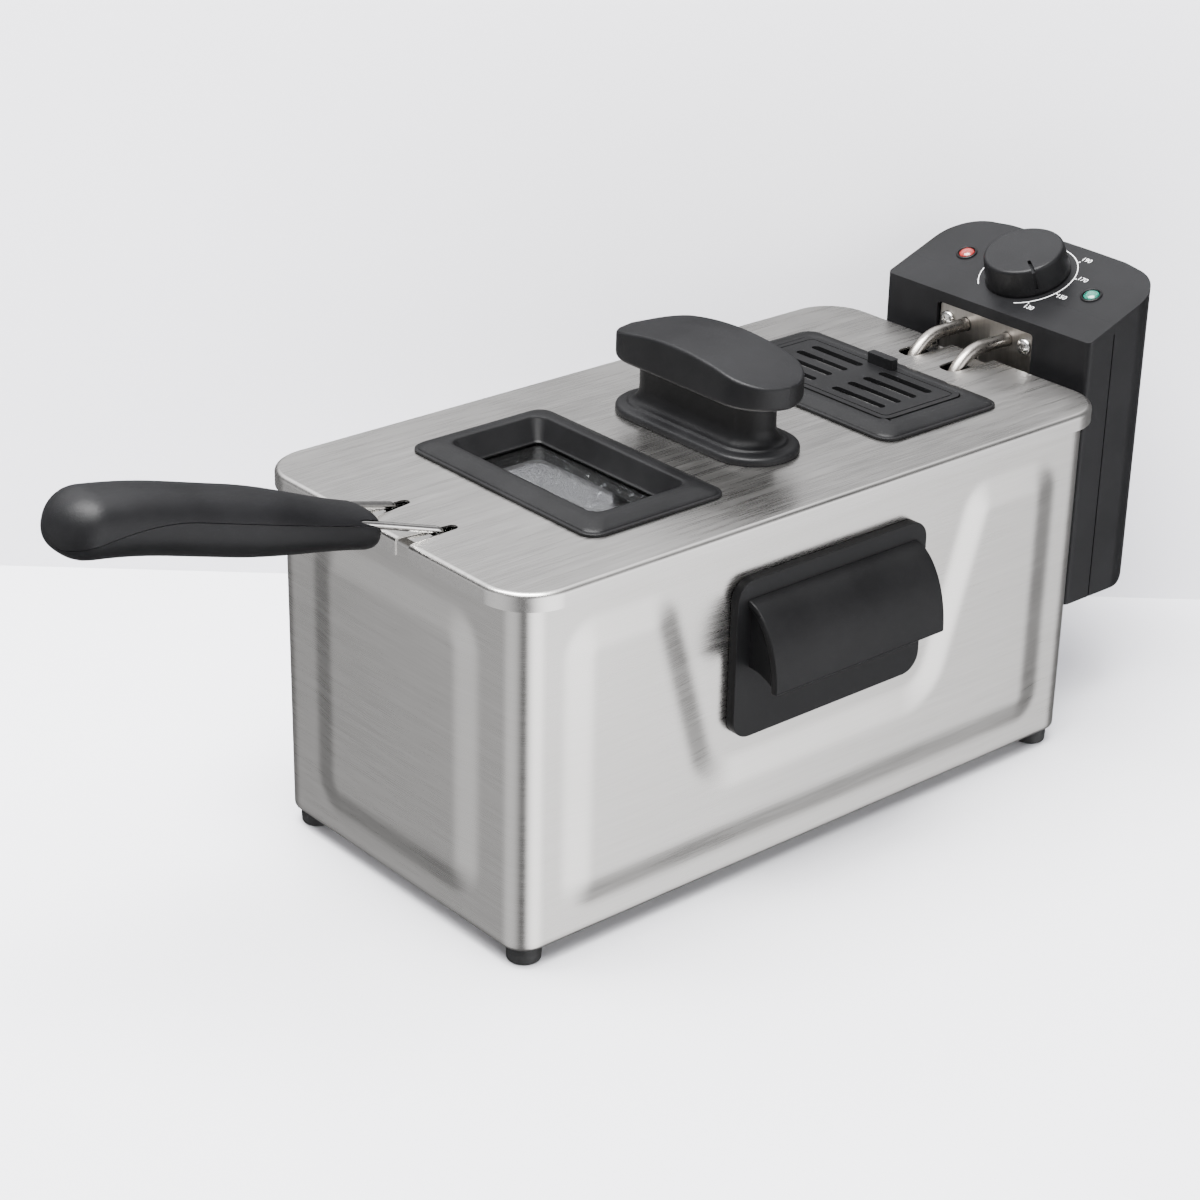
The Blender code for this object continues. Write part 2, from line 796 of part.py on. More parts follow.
def makeElementPlate():
    middle = plateTop - plateSize[1] / 2
    outlines = [roundedRectangle(plateSize[0], plateSize[1], 0.0015, 0, middle, 2)]
    for side in (-1, 1):
        outlines.append(circlePoints(side * legY, legTop, tubeDiameter / 2 + gap, 14))
        outlines.append(circlePoints(side * plateScrewSpacing / 2, plateScrewHeight,
                                     screwShank / 2 + gap, 10))
    outlines.append(circlePoints(capillaryY, capillaryTop, capillary / 2 + gap, 8))
    back = controlFront + platePocket - gap
    plate = slab("element_plate", outlines, back - plateThick, back, "X")
    finish(plate, controlBody, "polished_steel", smooth=False)
    face = back - plateThick - gap
    for side, word in ((-1, "near"), (1, "far")):
        head = screwHead / 2
        shank = screwShank / 2
        profile = [(0, 0.0022), (head * 0.6, 0.0020), (head, 0.0010), (head, 0), (shank, 0),
                   (shank, -0.0045), (0, -0.0045)]
        screw = turned("plate_screw_" + word, profile, 16)
        spot = (face, side * plateScrewSpacing / 2, plateScrewHeight)
        finish(place(screw, spot, -math.pi / 2), controlBody, "polished_steel")


def makeElement():
    """One tube: down the far leg, four runs over the pan's floor, up the near leg."""
    rear = legX - 0.018
    turnBack = legX - 0.052
    frontTurn = -halfLength + panInset + 0.045
    inside = controlFront + controlFrontWall + 0.004
    half = [(inside, legY, legTop), (legX, legY, legTop), (legX, legY, elementHeight),
            (rear, legY, elementHeight), (rear - 0.020, elementOuterRun, elementHeight),
            (frontTurn, elementOuterRun, elementHeight),
            (frontTurn, elementInnerRun, elementHeight),
            (turnBack - 0.004, elementInnerRun, elementHeight)]
    corners = half + [(x, -y, z) for x, y, z in reversed(half)]
    side = [legBend, 0.012, 0.006, 0.010, 0.0155, 0.0155, 0.0165]
    route = filletRoute(corners, side + list(reversed(side)), 4)
    finish(wire("heating_element", route, tubeDiameter), controlBody, "polished_steel")


def makeSensor():
    """The bulb lies over the inner runs; its capillary leaves beside the far leg."""
    high = legX - 0.045
    height = elementHeight + (tubeDiameter + bulbDiameter) / 2 + bulbLift
    bulb = turned("sensor_bulb", pinProfile(bulbDiameter, 0, bulbLength, 0.001), 12)
    place(bulb, (high - bulbLength, 0, height), math.pi / 2)
    finish(bulb, controlBody, "polished_steel")
    upright = legX + 0.0075
    corners = [(high + gap, 0, height), (upright, 0, height), (upright, 0, height + 0.040),
               (upright, capillaryY, height + 0.070), (upright, capillaryY, capillaryTop),
               (controlFront + controlFrontWall + 0.003, capillaryY, capillaryTop)]
    route = filletRoute(corners, [0.008, 0.006, 0.006, 0.007], 3)
    finish(wire("sensor_capillary", route, capillary, resolution=1), controlBody, "bare_wire")


def makeInnerParts():
    """Switch gear inside the control unit."""
    backX = controlRear - controlWall - 0.004
    thermostat = turned("thermostat", pinProfile(0.026, -0.020, -0.0065, 0.001), 16)
    place(thermostat, panelPoint(dialMiddle, 0), -slopeAngle)
    finish(thermostat, controlBody, "polished_steel")
    frontX = controlFront + controlFrontWall + 0.006
    terminal = slab("terminal_block", [roundedRectangle(0.016, 0.044, 0.002, frontX + 0.012, 0, 1)],
                    controlLow + 0.050, controlLow + 0.064)
    finish(terminal, controlBody, "rubber", smooth=False)
    switch = slab("interlock_switch", [roundedRectangle(0.012, 0.020, 0.001, frontX + 0.006,
                                                        0.040, 1)],
                  controlLow + 0.020, controlLow + 0.036)
    finish(switch, controlBody, "rubber", smooth=False)
    cutout = turned("thermal_cutout", pinProfile(0.018, -0.006, 0.006, 0.001), 16)
    place(cutout, (backX - 0.012 - buttonTravel, 0, buttonHeight), math.pi / 2)
    finish(cutout, controlBody, "polished_steel")


def makeLamps():
    for side, word, colour in ((1, "red", "red_lens"), (-1, "green", "green_lens")):
        across = side * lampSpacing / 2
        ringOuter = lampRing / 2
        bore = lampLens / 2 + gap
        bezel = turned("lamp_ring_" + word,
                       [(bore, 0.0008), (ringOuter - 0.0006, 0.0008), (ringOuter, gap),
                        (bore, gap), (bore, 0.0008)], 20)
        finish(place(bezel, panelPoint(dialMiddle, across), -slopeAngle),
               controlBody, "black_plastic")
        lens = lampLens / 2
        profile = [(0, 0.0020), (lens * 0.45, 0.0018), (lens * 0.8, 0.0012), (lens, 0.0004),
                   (lens, -0.012), (0, -0.012)]
        finish(place(turned("lamp_" + word, profile, 20), panelPoint(dialMiddle, across),
                     -slopeAngle), controlBody, colour)


def makeInlet():
    """Bush where the mains lead would enter, under the unit."""
    bore = inletBore / 2
    profile = [(0.0032, 0.006), (bore, 0.006), (bore, -gap), (bore + 0.003, -gap),
               (bore + 0.003, -0.002), (bore, -0.009), (0.0032, -0.009), (0.0032, 0.006)]
    bush = turned("inlet_bush", profile, 16)
    finish(place(bush, (inletX, inletY, controlLow)), controlBody, "rubber")


def makeDial():
    low = dialDiameter / 2
    high = low - dialTaper
    profile = [(0, dialHeight), (high - 0.0015, dialHeight), (high, dialHeight - 0.0012),
               (low, 0.0024), (low, gap), (shaftDiameter / 2 + gap, gap),
               (shaftDiameter / 2 + gap, dialHeight - 0.004), (0, dialHeight - 0.004)]
    dial = turned("dial_knob", profile, 28)
    at = panelPoint(dialMiddle, 0)
    place(dial, at, -slopeAngle)
    groove = slab("pointer_groove", [roundedRectangle(0.012, 0.0022, 0.0005, low - 0.004, 0, 1)],
                  -0.001, dialHeight + 0.002)
    groove.matrix_basis = (Matrix.Translation(at) @ Matrix.Rotation(-slopeAngle, 4, "Y")
                           @ Matrix.Rotation(math.radians(dialPointer), 4, "Z")
                           @ groove.matrix_basis)
    cut(dial, groove)
    finish(dial, dialBody, "black_plastic")
    shaft = turned("dial_shaft", pinProfile(shaftDiameter, -0.0060, dialHeight - 0.0045), 14)
    finish(place(shaft, at, -slopeAngle), dialBody, "polished_steel")


def makeButton():
    button = turned("reset_button", pinProfile(buttonDiameter, -0.0095, 0.0012, 0.0006), 16)
    place(button, (controlRear - 0.0004, 0, buttonHeight), math.pi / 2)
    finish(button, buttonBody, "red_button")


# --- basket ---

def basketRings():
    rings = []
    low = basketLow
    edge = basketCorner * 0.5
    for i in range(4):
        angle = math.radians(90 * i / 3)
        inset = edge * (1 - math.sin(angle))
        height = low + edge * (1 - math.cos(angle))
        size = (basketLength - 2 * inset, basketWidth - 2 * inset)
        rings.append(ring(size, basketCorner - inset, height, (basketX, 0)))
    rings.append(ring((basketLength, basketWidth), basketCorner, basketHigh, (basketX, 0)))
    return rings


def makeBasket():
    shell = loft("basket_mesh", basketRings(), capFirst=True, capLast=False)
    solidify(shell, basketWall)
    finish(shell, basketBody, "bare_wire")
    spread = gap + rimWire / 2
    size = (basketLength + 2 * spread, basketWidth + 2 * spread)
    height = basketHigh - rimWire / 2
    path = ring(size, basketCorner + spread, height, (basketX, 0), 4)
    finish(wire("basket_rim", path, rimWire, closed=True), basketBody, "bare_wire")


def makeBasketRibs():
    """Two wires that run down the sides and under the floor."""
    out = basketWidth / 2 + gap + ribWire / 2
    low = basketLow - gap - ribWire / 2
    high = basketHigh - rimWire - gap * 2
    for offset, word in ((-0.30, "front"), (0.30, "rear")):
        x = basketX + offset * basketLength
        corners = [(x, -out, high), (x, -out, low), (x, out, low), (x, out, high)]
        route = filletRoute(corners, basketCorner * 0.5 + ribWire / 2 + gap, 4)
        finish(wire("basket_rib_" + word, route, ribWire), basketBody, "bare_wire")


def makeBracket():
    """Bent bracket on the basket's front with two ears for the handle's pivots."""
    back = basketFront - gap
    low = pivotHeight - 0.030
    high = basketHigh - rimWire - 2 * gap
    outline = [(-earY - earThick, low), (earY + earThick, low), (earY + earThick, high),
               (-earY - earThick, high)]
    bracket = slab("handle_bracket", [outline], back - earThick, back, "X")
    for side in (-1, 1):
        ear = arcPoints(pivotX, pivotHeight, earRadius, earRadius, -20, 270, 10)
        ear += [(back - 0.0005, low + 0.004), (back - 0.0005, high - 0.001)]
        ends = sorted((side * earY, side * (earY + earThick)))
        join(bracket, slab("ear", [ear], ends[0], ends[1], "Y"))
    bore = turned("pivot_bore", pinProfile(handleWire + 2 * gap, -0.05, 0.05), 14)
    cut(bracket, place(bore, (pivotX, 0, pivotHeight), math.pi / 2, "X"))
    finish(bracket, basketBody, "polished_steel", smooth=False)


# --- basket handle ---

def gripAxis(along, below=0.0):
    """A point on the grip's long line, or a distance below it; along is 0 to 1."""
    x = gripRootX - gripLength * along * math.cos(gripAngle)
    z = gripRootZ + gripLength * along * math.sin(gripAngle)
    return x + below * -math.sin(gripAngle), z - below * math.cos(gripAngle)


def gripSection(along, steps=14):
    """One ring of the grip, square to its line."""
    grow = min(1.0, along / 0.45)
    grow = grow * grow * (3 - 2 * grow)
    tip = math.sqrt(max(0.0, 1 - (max(0.0, along - 0.90) / 0.1005) ** 2))
    root = 1 - 0.16 * max(0.0, 1 - along / 0.03) ** 2
    half = (gripRootWidth + (gripWidth - gripRootWidth) * grow) / 2 * tip * root
    thick = (gripRootThick + (gripThick - gripRootThick) * grow) / 2 * tip * root
    points = []
    for i in range(steps):
        angle = 2 * math.pi * (i + 0.5) / steps
        wide = math.copysign(abs(math.cos(angle)) ** 0.8, math.cos(angle))
        high = math.copysign(abs(math.sin(angle)) ** 0.9, math.sin(angle))
        x, z = gripAxis(along, gripSink - thick * high)
        points.append((x, half * wide, z))
    return points


def partingLine(drop, far):
    """Side view of the join between the grip's halves, closed far below or above."""
    points = []
    for i in range(13):
        along = -0.05 + 1.15 * i / 12
        fall = 0.012 * (max(0.0, along - 0.64) / 0.29) ** 1.5
        points.append(gripAxis(along, fall + drop))
    return points + [(points[-1][0], far), (points[0][0], far)]


def wireCrossing(side):
    return Vector((-halfLength + wireCross, side * wireSpreadLow / 2, wireCrossHeight))


def wireEntry(side):
    return Vector((gripRootX, side * wireSpreadHigh / 2, gripRootZ))


def wireEnd(side, further=0.0):
    reach = wireInGrip + further
    x = gripRootX - reach * math.cos(gripAngle)
    z = gripRootZ + reach * math.sin(gripAngle)
    return Vector((x, side * wireSpreadHigh * 0.32, z))


def makeGrip():
    stations = [0.0, 0.03, 0.10, 0.22, 0.36, 0.52, 0.70, 0.84, 0.90, 0.945, 0.975, 0.992]
    for word, drop, far in (("upper", 0.0, 0.0), ("lower", -gap, 0.5)):
        half = loft("grip_" + word, [gripSection(along) for along in stations])
        cut(half, slab("parting_" + word, [partingLine(-drop, far)], -0.05, 0.05, "Y"))
        for side in (-1, 1):
            route = filletRoute([wireCrossing(side), wireEntry(side), wireEnd(side, 0.002)],
                                wireEntryBend, 4)
            channel = wire("wire_channel", route, handleWire + 2 * gap + 0.0004)
            cut(half, meshFromCurve(channel))
        finish(half, handleBody, "soft_black")


def makeHandleWires():
    """Two wires, each from its pivot in the bracket to its end in the grip."""
    for side, word in ((-1, "near"), (1, "far")):
        corners = [Vector((pivotX, side * (earY + earThick + 0.0012), pivotHeight)),
                   Vector((pivotX, side * wireSpreadLow / 2, pivotHeight)),
                   wireCrossing(side), wireEntry(side), wireEnd(side)]
        route = filletRoute(corners, [0.0025, 0.0040, wireEntryBend], 4)
        finish(wire("handle_wire_" + word, route, handleWire), handleBody, "bare_wire")


# --- lid ---

def lidRings():
    reach = 2 * lidOverhang
    size = (bodyLength + reach, bodyWidth + reach)
    rings = [ring(size, lidCorner, lidTop - lidDrop, steps=6)]
    for i in range(3):
        angle = math.radians(90 * i / 2)
        inset = lidEdge * (1 - math.cos(angle))
        height = lidTop - lidEdge * (1 - math.sin(angle))
        around = (size[0] - 2 * inset, size[1] - 2 * inset)
        rings.append(ring(around, lidCorner - inset, height, steps=6))
    return rings


def slotOutline(side):
    """One front slot in plan, open past the lid's front edge."""
    tip = -halfLength + slotDepth
    edge = -halfLength - lidOverhang
    out = edge - 0.005
    widen = (slotTipInner - slotInner) / (tip - edge)
    inner = slotInner - widen * 0.005
    middle = side * (slotTipInner + slotTipOuter) / 2
    radius = (slotTipOuter - slotTipInner) / 2
    tipArc = arcPoints(tip - radius, middle, radius, radius, -90, 90, 6)
    if side < 0:
        return [(out, -slotOuter - 0.0002)] + tipArc + [(out, -inner)]
    return [(out, inner)] + tipArc + [(out, slotOuter + 0.0002)]


def notchOutline(side):
    tip = notchTip
    out = halfLength + lidOverhang + 0.005
    radius = notchWidth * 0.42
    low = side * legY - notchWidth / 2
    high = side * legY + notchWidth / 2
    points = [(out, low), (out, high)]
    points += arcPoints(tip + radius, high - radius, radius, radius, 90, 180, 3)
    points += arcPoints(tip + radius, low + radius, radius, radius, 180, 270, 3)
    return points


def makeLid():
    lid = loft("lid_sheet", lidRings(), capFirst=False, capLast=True)
    solidify(lid, sheet)
    high = lidTop + 0.01
    low = lidTop - 0.03
    for side in (-1, 1):
        cut(lid, slab("front_slot", [slotOutline(side)], low, high))
        cut(lid, slab("rear_notch", [notchOutline(side)], low, high))
    skirts = ((windowX, glassSize, "window_hole"), (filterX, coverSize, "filter_hole"))
    for x, size, word in skirts:
        outline = roundedRectangle(size[0] + 2 * skirtWall + 2 * gap,
                                   size[1] + 2 * skirtWall + 2 * gap, 0.008 + gap, x, 0)
        cut(lid, slab(word, [outline], low, high))
    for end in (-1, 1):
        hole = turned("knob_hole", pinProfile(screwShank + 2 * gap, -0.01, 0.01), 12)
        cut(lid, place(hole, (knobX, end * knobStem[1] * 0.32, lidTop)))
    finish(lid, lidBody, "brushed_steel")


def borderRings(x, size, opening, rise):
    """Upper side of a frame: flange underside, sloping border, crest and opening."""
    base = lidTop + gap
    top = lidTop + rise
    slope = (size[0] - 0.003, size[1] - 0.003)
    crest = (opening[0] + 0.008, opening[1] + 0.008)
    sections = [(size, 0.009, base), (size, 0.009, base + 0.0012), (slope, 0.008, base + 0.0024),
                (crest, 0.007, top - 0.0003), (opening, 0.006, top)]
    return [ring(around, radius, z, (x, 0)) for around, radius, z in sections]


def larger(size, margin):
    return (size[0] + 2 * margin, size[1] + 2 * margin)


def makeWindow():
    floor = lidTop - glassDepth
    low = floor - glassThick - 0.0008
    skirt = larger(glassSize, skirtWall)
    seat = larger(glassSize, gap)
    ledge = larger(glassSize, -0.003)
    rings = [ring(skirt, 0.008, lidTop + gap, (windowX, 0))]
    rings += borderRings(windowX, windowSize, windowOpening, windowRise)
    for around, radius, z in ((ledge, 0.003, floor + 0.0009), (ledge, 0.003, floor),
                              (seat, 0.004, floor), (seat, 0.004, low), (skirt, 0.008, low)):
        rings.append(ring(around, radius, z, (windowX, 0)))
    finish(loft("window_frame", rings, closed=True), lidBody, "black_plastic")
    outline = roundedRectangle(glassSize[0], glassSize[1], 0.004, windowX, 0)
    glass = slab("window_glass", [outline], floor - gap - glassThick, floor - gap)
    finish(glass, lidBody, "grey_glass", smooth=False)


def makeFilterFrame():
    top = lidTop + filterRise
    ledgeZ = top - coverThick - coverDrop
    low = lidTop - trayDepth
    well = larger(coverSize, coverFit)
    skirt = larger(coverSize, skirtWall)
    tray = larger(coverSize, -0.002)
    rest = larger(coverSize, -0.005)
    rings = [ring(skirt, 0.008, lidTop + gap, (filterX, 0))]
    rings += borderRings(filterX, filterSize, well, filterRise)
    for around, radius, z in ((well, 0.006, ledgeZ), (tray, 0.005, ledgeZ),
                              (tray, 0.005, low + 0.0012), (rest, 0.004, low + 0.0012),
                              (rest, 0.004, low), (skirt, 0.008, low)):
        rings.append(ring(around, radius, z, (filterX, 0)))
    frame = loft("filter_frame", rings, closed=True)
    reach = coverSize[1] / 2 + 0.0022
    pin = pinProfile(hingePin + 4 * gap, -reach, reach)
    cut(frame, place(turned("pin_hole", pin, 12), coverHinge(), math.pi / 2, "X"))
    finish(frame, lidBody, "black_plastic")
    outline = roundedRectangle(tray[0] - 0.001, tray[1] - 0.001, 0.004, filterX, 0)
    mat = slab("filter_mat", [outline], low + 0.0012 + gap, low + 0.0012 + gap + matThick)
    finish(mat, lidBody, "filter_felt", smooth=False)


def coverHinge():
    x = filterX - coverSize[0] / 2 + coverThick / 2
    return Vector((x, 0, lidTop + filterRise - coverThick / 2))


def makeCover():
    top = lidTop + filterRise
    outlines = [roundedRectangle(coverSize[0], coverSize[1], 0.0055, filterX, 0)]
    for side in (-1, 1):
        for i in range(4):
            x = filterX + (i - 1.5) * ventStep
            y = side * (ventRow + ventLength) / 2
            outlines.append(roundedRectangle(ventWidth, ventLength, ventWidth * 0.42, x, y, 3))
    cover = slab("filter_cover", outlines, top - coverThick, top)
    tabX = filterX + coverSize[0] / 2 - tabThick / 2 - 0.0003
    tab = slab("lift_tab", [roundedRectangle(tabThick, tabWidth, 0.0012, tabX, 0, 2)],
               top - coverThick / 2, top + tabRise)
    join(cover, tab)
    reach = coverSize[1] / 2 + 0.0016
    for side in (-1, 1):
        ends = sorted((side * (coverSize[1] / 2 - 0.006), side * reach))
        pin = turned("hinge_pin", pinProfile(hingePin, ends[0], ends[1]), 12)
        join(cover, place(pin, coverHinge(), -math.pi / 2, "X"))
    finish(cover, coverBody, "black_plastic")


def stadium(size, height, x=0.0):
    return ring(size, size[0] / 2 - 0.0001, height, (x, 0), 6)


def makeLidKnob():
    """Stadium base and stem, with an arched grip on top."""
    base = lidTop + gap
    fillet = larger(knobStem, 0.0032)
    sections = [(knobBase, base), (knobBase, base + 0.0026), (larger(knobBase, -0.0016), base + 0.0040),
                (larger(fillet, 0.0030), base + 0.0046), (larger(knobStem, 0.0028), base + 0.0058),
                (larger(knobStem, 0.0008), base + 0.0090), (knobStem, base + 0.0130),
                (knobStem, lidTop + knobGripLow + 0.001)]
    knob = loft("lid_knob", [stadium(size, height, knobX) for size, height in sections])
    outline = [(x, y) for x, y, z in stadium(knobGrip, 0, knobX)]
    grip = slab("knob_grip", [outline], lidTop + knobGripLow, lidTop + knobGripTop + 0.01)
    half = knobGrip[1] / 2
    arch = [(-half * 1.02, lidTop), (half * 1.02, lidTop)]
    for i in range(13):
        y = half * 1.02 * (1 - i / 6)
        rise = (knobGripTop - knobGripEnd) * (1 - (y / half) ** 2)
        arch.append((y, lidTop + knobGripEnd + rise))
    combine(grip, slab("grip_arch", [arch], knobX - 0.05, knobX + 0.05, "X"), "INTERSECT")
    bevel(grip, 0.0012, 2, 50)
    join(knob, grip)
    for end, word in ((-1, "near"), (1, "far")):
        spot = (knobX, end * knobStem[1] * 0.32, 0)
        hole = turned("knob_pilot", pinProfile(screwShank + 2 * gap, lidTop - 0.001,
                                               lidTop + 0.0085), 12)
        cut(knob, place(hole, spot))
        head = lidUnder - gap
        radius = screwHead / 2
        profile = [(0, lidTop + 0.0078), (screwShank / 2, lidTop + 0.0078), (screwShank / 2, head),
                   (radius, head), (radius, head - 0.0009), (radius * 0.6, head - 0.0020),
                   (0, head - 0.0022)]
        screw = turned("knob_screw_" + word, profile, 14)
        finish(place(screw, spot), lidBody, "polished_steel")
    finish(knob, lidBody, "soft_black")


makeBody()
makeBasePlate()
makeFeet()
for sideSign, sideWord in ((-1, "near"), (1, "far")):
    makeSideHandle(sideSign, sideWord)
    makeHandleScrews(sideSign, sideWord)
makeRearBracket()
makePan()
makeControlShells()
makeHanger()
makeElementPlate()
makeElement()
makeSensor()
makeInnerParts()
makeLamps()
makeInlet()
makeDial()
makeButton()
makeBasket()
makeBasketRibs()
makeBracket()
makeGrip()
makeHandleWires()
makeLid()
makeWindow()
makeFilterFrame()
makeCover()
makeLidKnob()
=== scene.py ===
import json
import math
import random

import bmesh
import bpy
import numpy as np
from mathutils import Matrix, Vector


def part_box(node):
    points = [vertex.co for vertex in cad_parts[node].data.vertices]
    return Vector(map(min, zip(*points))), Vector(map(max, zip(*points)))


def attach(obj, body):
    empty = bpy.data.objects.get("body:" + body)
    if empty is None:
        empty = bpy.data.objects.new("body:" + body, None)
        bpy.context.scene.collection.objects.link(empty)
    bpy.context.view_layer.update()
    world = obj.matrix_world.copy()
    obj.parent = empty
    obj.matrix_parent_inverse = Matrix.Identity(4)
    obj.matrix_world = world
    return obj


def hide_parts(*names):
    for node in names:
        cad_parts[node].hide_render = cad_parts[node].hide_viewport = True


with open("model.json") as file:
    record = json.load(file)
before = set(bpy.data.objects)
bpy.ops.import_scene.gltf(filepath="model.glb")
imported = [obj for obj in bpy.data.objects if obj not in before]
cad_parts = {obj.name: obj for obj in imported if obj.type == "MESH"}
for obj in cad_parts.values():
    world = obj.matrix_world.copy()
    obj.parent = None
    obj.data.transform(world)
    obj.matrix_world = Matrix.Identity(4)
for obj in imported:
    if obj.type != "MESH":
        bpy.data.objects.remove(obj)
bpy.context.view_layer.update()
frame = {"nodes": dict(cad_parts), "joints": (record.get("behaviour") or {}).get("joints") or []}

# places that every piece is laid out from
bodyLow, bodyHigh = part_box("outer_housing")
lidLow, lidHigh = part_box("lid_sheet")
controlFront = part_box("control_front")[0].x
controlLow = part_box("control_front")[0].z
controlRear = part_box("control_rear")[1].x
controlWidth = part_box("control_front")[1].y * 2
middleX = (lidLow.x + lidHigh.x) / 2
lidTop = lidHigh.z
joints = {joint["name"]: joint for joint in frame["joints"]}
dialSpot = Vector(joints["dial_turn"]["pos_m"])
panelUp = Vector(joints["dial_turn"]["axis"]).normalized()
panelAlong = Vector((panelUp.z, 0, -panelUp.x))
panelTilt = math.atan2(-panelUp.x, panelUp.z)
lidOverhang = 0.007
bodyLength = lidHigh.x - lidLow.x - 2 * lidOverhang
bodyWidth = lidHigh.y * 2 - 2 * lidOverhang
bodyFront = middleX - bodyLength / 2
bodyRear = middleX + bodyLength / 2
gap = 0.0003

looks = bpy.data.collections.new("fryerLooks")
bpy.context.scene.collection.children.link(looks)
materials = {}
tools = {}


def arcPoints(middleU, middleV, radiusU, radiusV, start, stop, steps):
    points = []
    for i in range(steps + 1):
        angle = math.radians(start + (stop - start) * i / steps)
        points.append((middleU + radiusU * math.cos(angle), middleV + radiusV * math.sin(angle)))
    return points


def roundedRectangle(sizeU, sizeV, radius, middleU=0.0, middleV=0.0, steps=8):
    reachU = sizeU / 2 - radius
    reachV = sizeV / 2 - radius
    points = []
    for signU, signV, start in ((1, 1, 0), (-1, 1, 90), (-1, -1, 180), (1, -1, 270)):
        u = middleU + signU * reachU
        v = middleV + signV * reachV
        points += arcPoints(u, v, radius, radius, start, start + 90, steps)
    return points


def roundCorner(before, corner, after, radius, steps):
    back = (before - corner).normalized()
    ahead = (after - corner).normalized()
    turn = math.pi - back.angle(ahead)
    if turn < 0.01:
        return [corner]
    inset = radius * math.tan(turn / 2)
    middle = corner + (back + ahead).normalized() * radius / math.cos(turn / 2)
    first = corner + back * inset - middle
    last = corner + ahead * inset - middle
    return [middle + first.slerp(last, i / steps).normalized() * radius
            for i in range(steps + 1)]


def filletRoute(corners, radii, steps=10):
    spots = [Vector(corner) for corner in corners]
    route = [spots[0]]
    for i in range(1, len(spots) - 1):
        radius = radii[i - 1] if isinstance(radii, (list, tuple)) else radii
        route += roundCorner(spots[i - 1], spots[i], spots[i + 1], radius, steps)
    route.append(spots[-1])
    return route


def roundedOutline(corners, radius, steps=10):
    spots = [Vector((u, v, 0)) for u, v in corners]
    points = []
    for i, spot in enumerate(spots):
        after = spots[(i + 1) % len(spots)]
        points += [(p.x, p.y) for p in roundCorner(spots[i - 1], spot, after, radius, steps)]
    return points


def larger(size, margin):
    return (size[0] + 2 * margin, size[1] + 2 * margin)


def addObject(name, data):
    item = bpy.data.objects.new(name, data)
    looks.objects.link(item)
    return item


def meshObject(name, bm):
    mesh = bpy.data.meshes.new(name)
    bm.to_mesh(mesh)
    bm.free()
    return addObject(name, mesh)


def ring(size, radius, height, middle=(0.0, 0.0), steps=8):
    points = roundedRectangle(size[0], size[1], radius, middle[0], middle[1], steps)
    return [(u, v, height) for u, v in points]


def loft(name, rings, capFirst=True, capLast=True, closed=False):
    bm = bmesh.new()
    loops = [[bm.verts.new(point) for point in points] for points in rings]
    pairs = list(zip(loops, loops[1:]))
    if closed:
        pairs.append((loops[-1], loops[0]))
    count = len(loops[0])
    for lower, upper in pairs:
        for i in range(count):
            k = (i + 1) % count
            bm.faces.new((lower[i], lower[k], upper[k], upper[i]))
    if capFirst and not closed:
        bm.faces.new(list(reversed(loops[0])))
    if capLast and not closed:
        bm.faces.new(loops[-1])
    bmesh.ops.remove_doubles(bm, verts=bm.verts, dist=0.000002)
    return meshObject(name, bm)


axisTurns = {
    "Z": Matrix.Identity(4),
    "Y": Matrix(((1, 0, 0, 0), (0, 0, -1, 0), (0, 1, 0, 0), (0, 0, 0, 1))),
    "X": Matrix(((0, 0, 1, 0), (1, 0, 0, 0), (0, 1, 0, 0), (0, 0, 0, 1))),
}


def fromCurve(item, weld=0.000002):
    # a curve object becomes a closed mesh object of the same name
    bpy.context.view_layer.update()
    evaluated = item.evaluated_get(bpy.context.evaluated_depsgraph_get())
    mesh = bpy.data.meshes.new_from_object(evaluated)
    mesh.transform(item.matrix_world)
    bm = bmesh.new()
    bm.from_mesh(mesh)
    bmesh.ops.remove_doubles(bm, verts=bm.verts, dist=weld)
    bmesh.ops.recalc_face_normals(bm, faces=bm.faces)
    bm.to_mesh(mesh)
    bm.free()
    name = item.name
    bpy.data.objects.remove(item)
    return addObject(name, mesh)


def slab(name, outlines, low, high, axis="Z"):
    curve = bpy.data.curves.new(name, "CURVE")
    curve.dimensions = "2D"
    curve.fill_mode = "BOTH"
    curve.extrude = (high - low) / 2
    for outline in outlines:
        spline = curve.splines.new("POLY")
        spline.points.add(len(outline) - 1)
        for point, (u, v) in zip(spline.points, outline):
            point.co = (u, v, 0.0, 1.0)
        spline.use_cyclic_u = True
    item = addObject(name, curve)
    middle = (low + high) / 2
    along = {"X": (middle, 0, 0), "Y": (0, middle, 0), "Z": (0, 0, middle)}[axis]
    item.matrix_world = Matrix.Translation(along) @ axisTurns[axis]
    return fromCurve(item)


def wire(name, routes, diameter, closed=False, resolution=4):
    curve = bpy.data.curves.new(name, "CURVE")
    curve.dimensions = "3D"
    curve.bevel_depth = diameter / 2
    curve.bevel_resolution = resolution
    curve.use_fill_caps = not closed
    for route in routes:
        spline = curve.splines.new("POLY")
        spline.points.add(len(route) - 1)
        for point, spot in zip(spline.points, route):
            point.co = (*spot, 1.0)
        spline.use_cyclic_u = closed
    return fromCurve(addObject(name, curve))


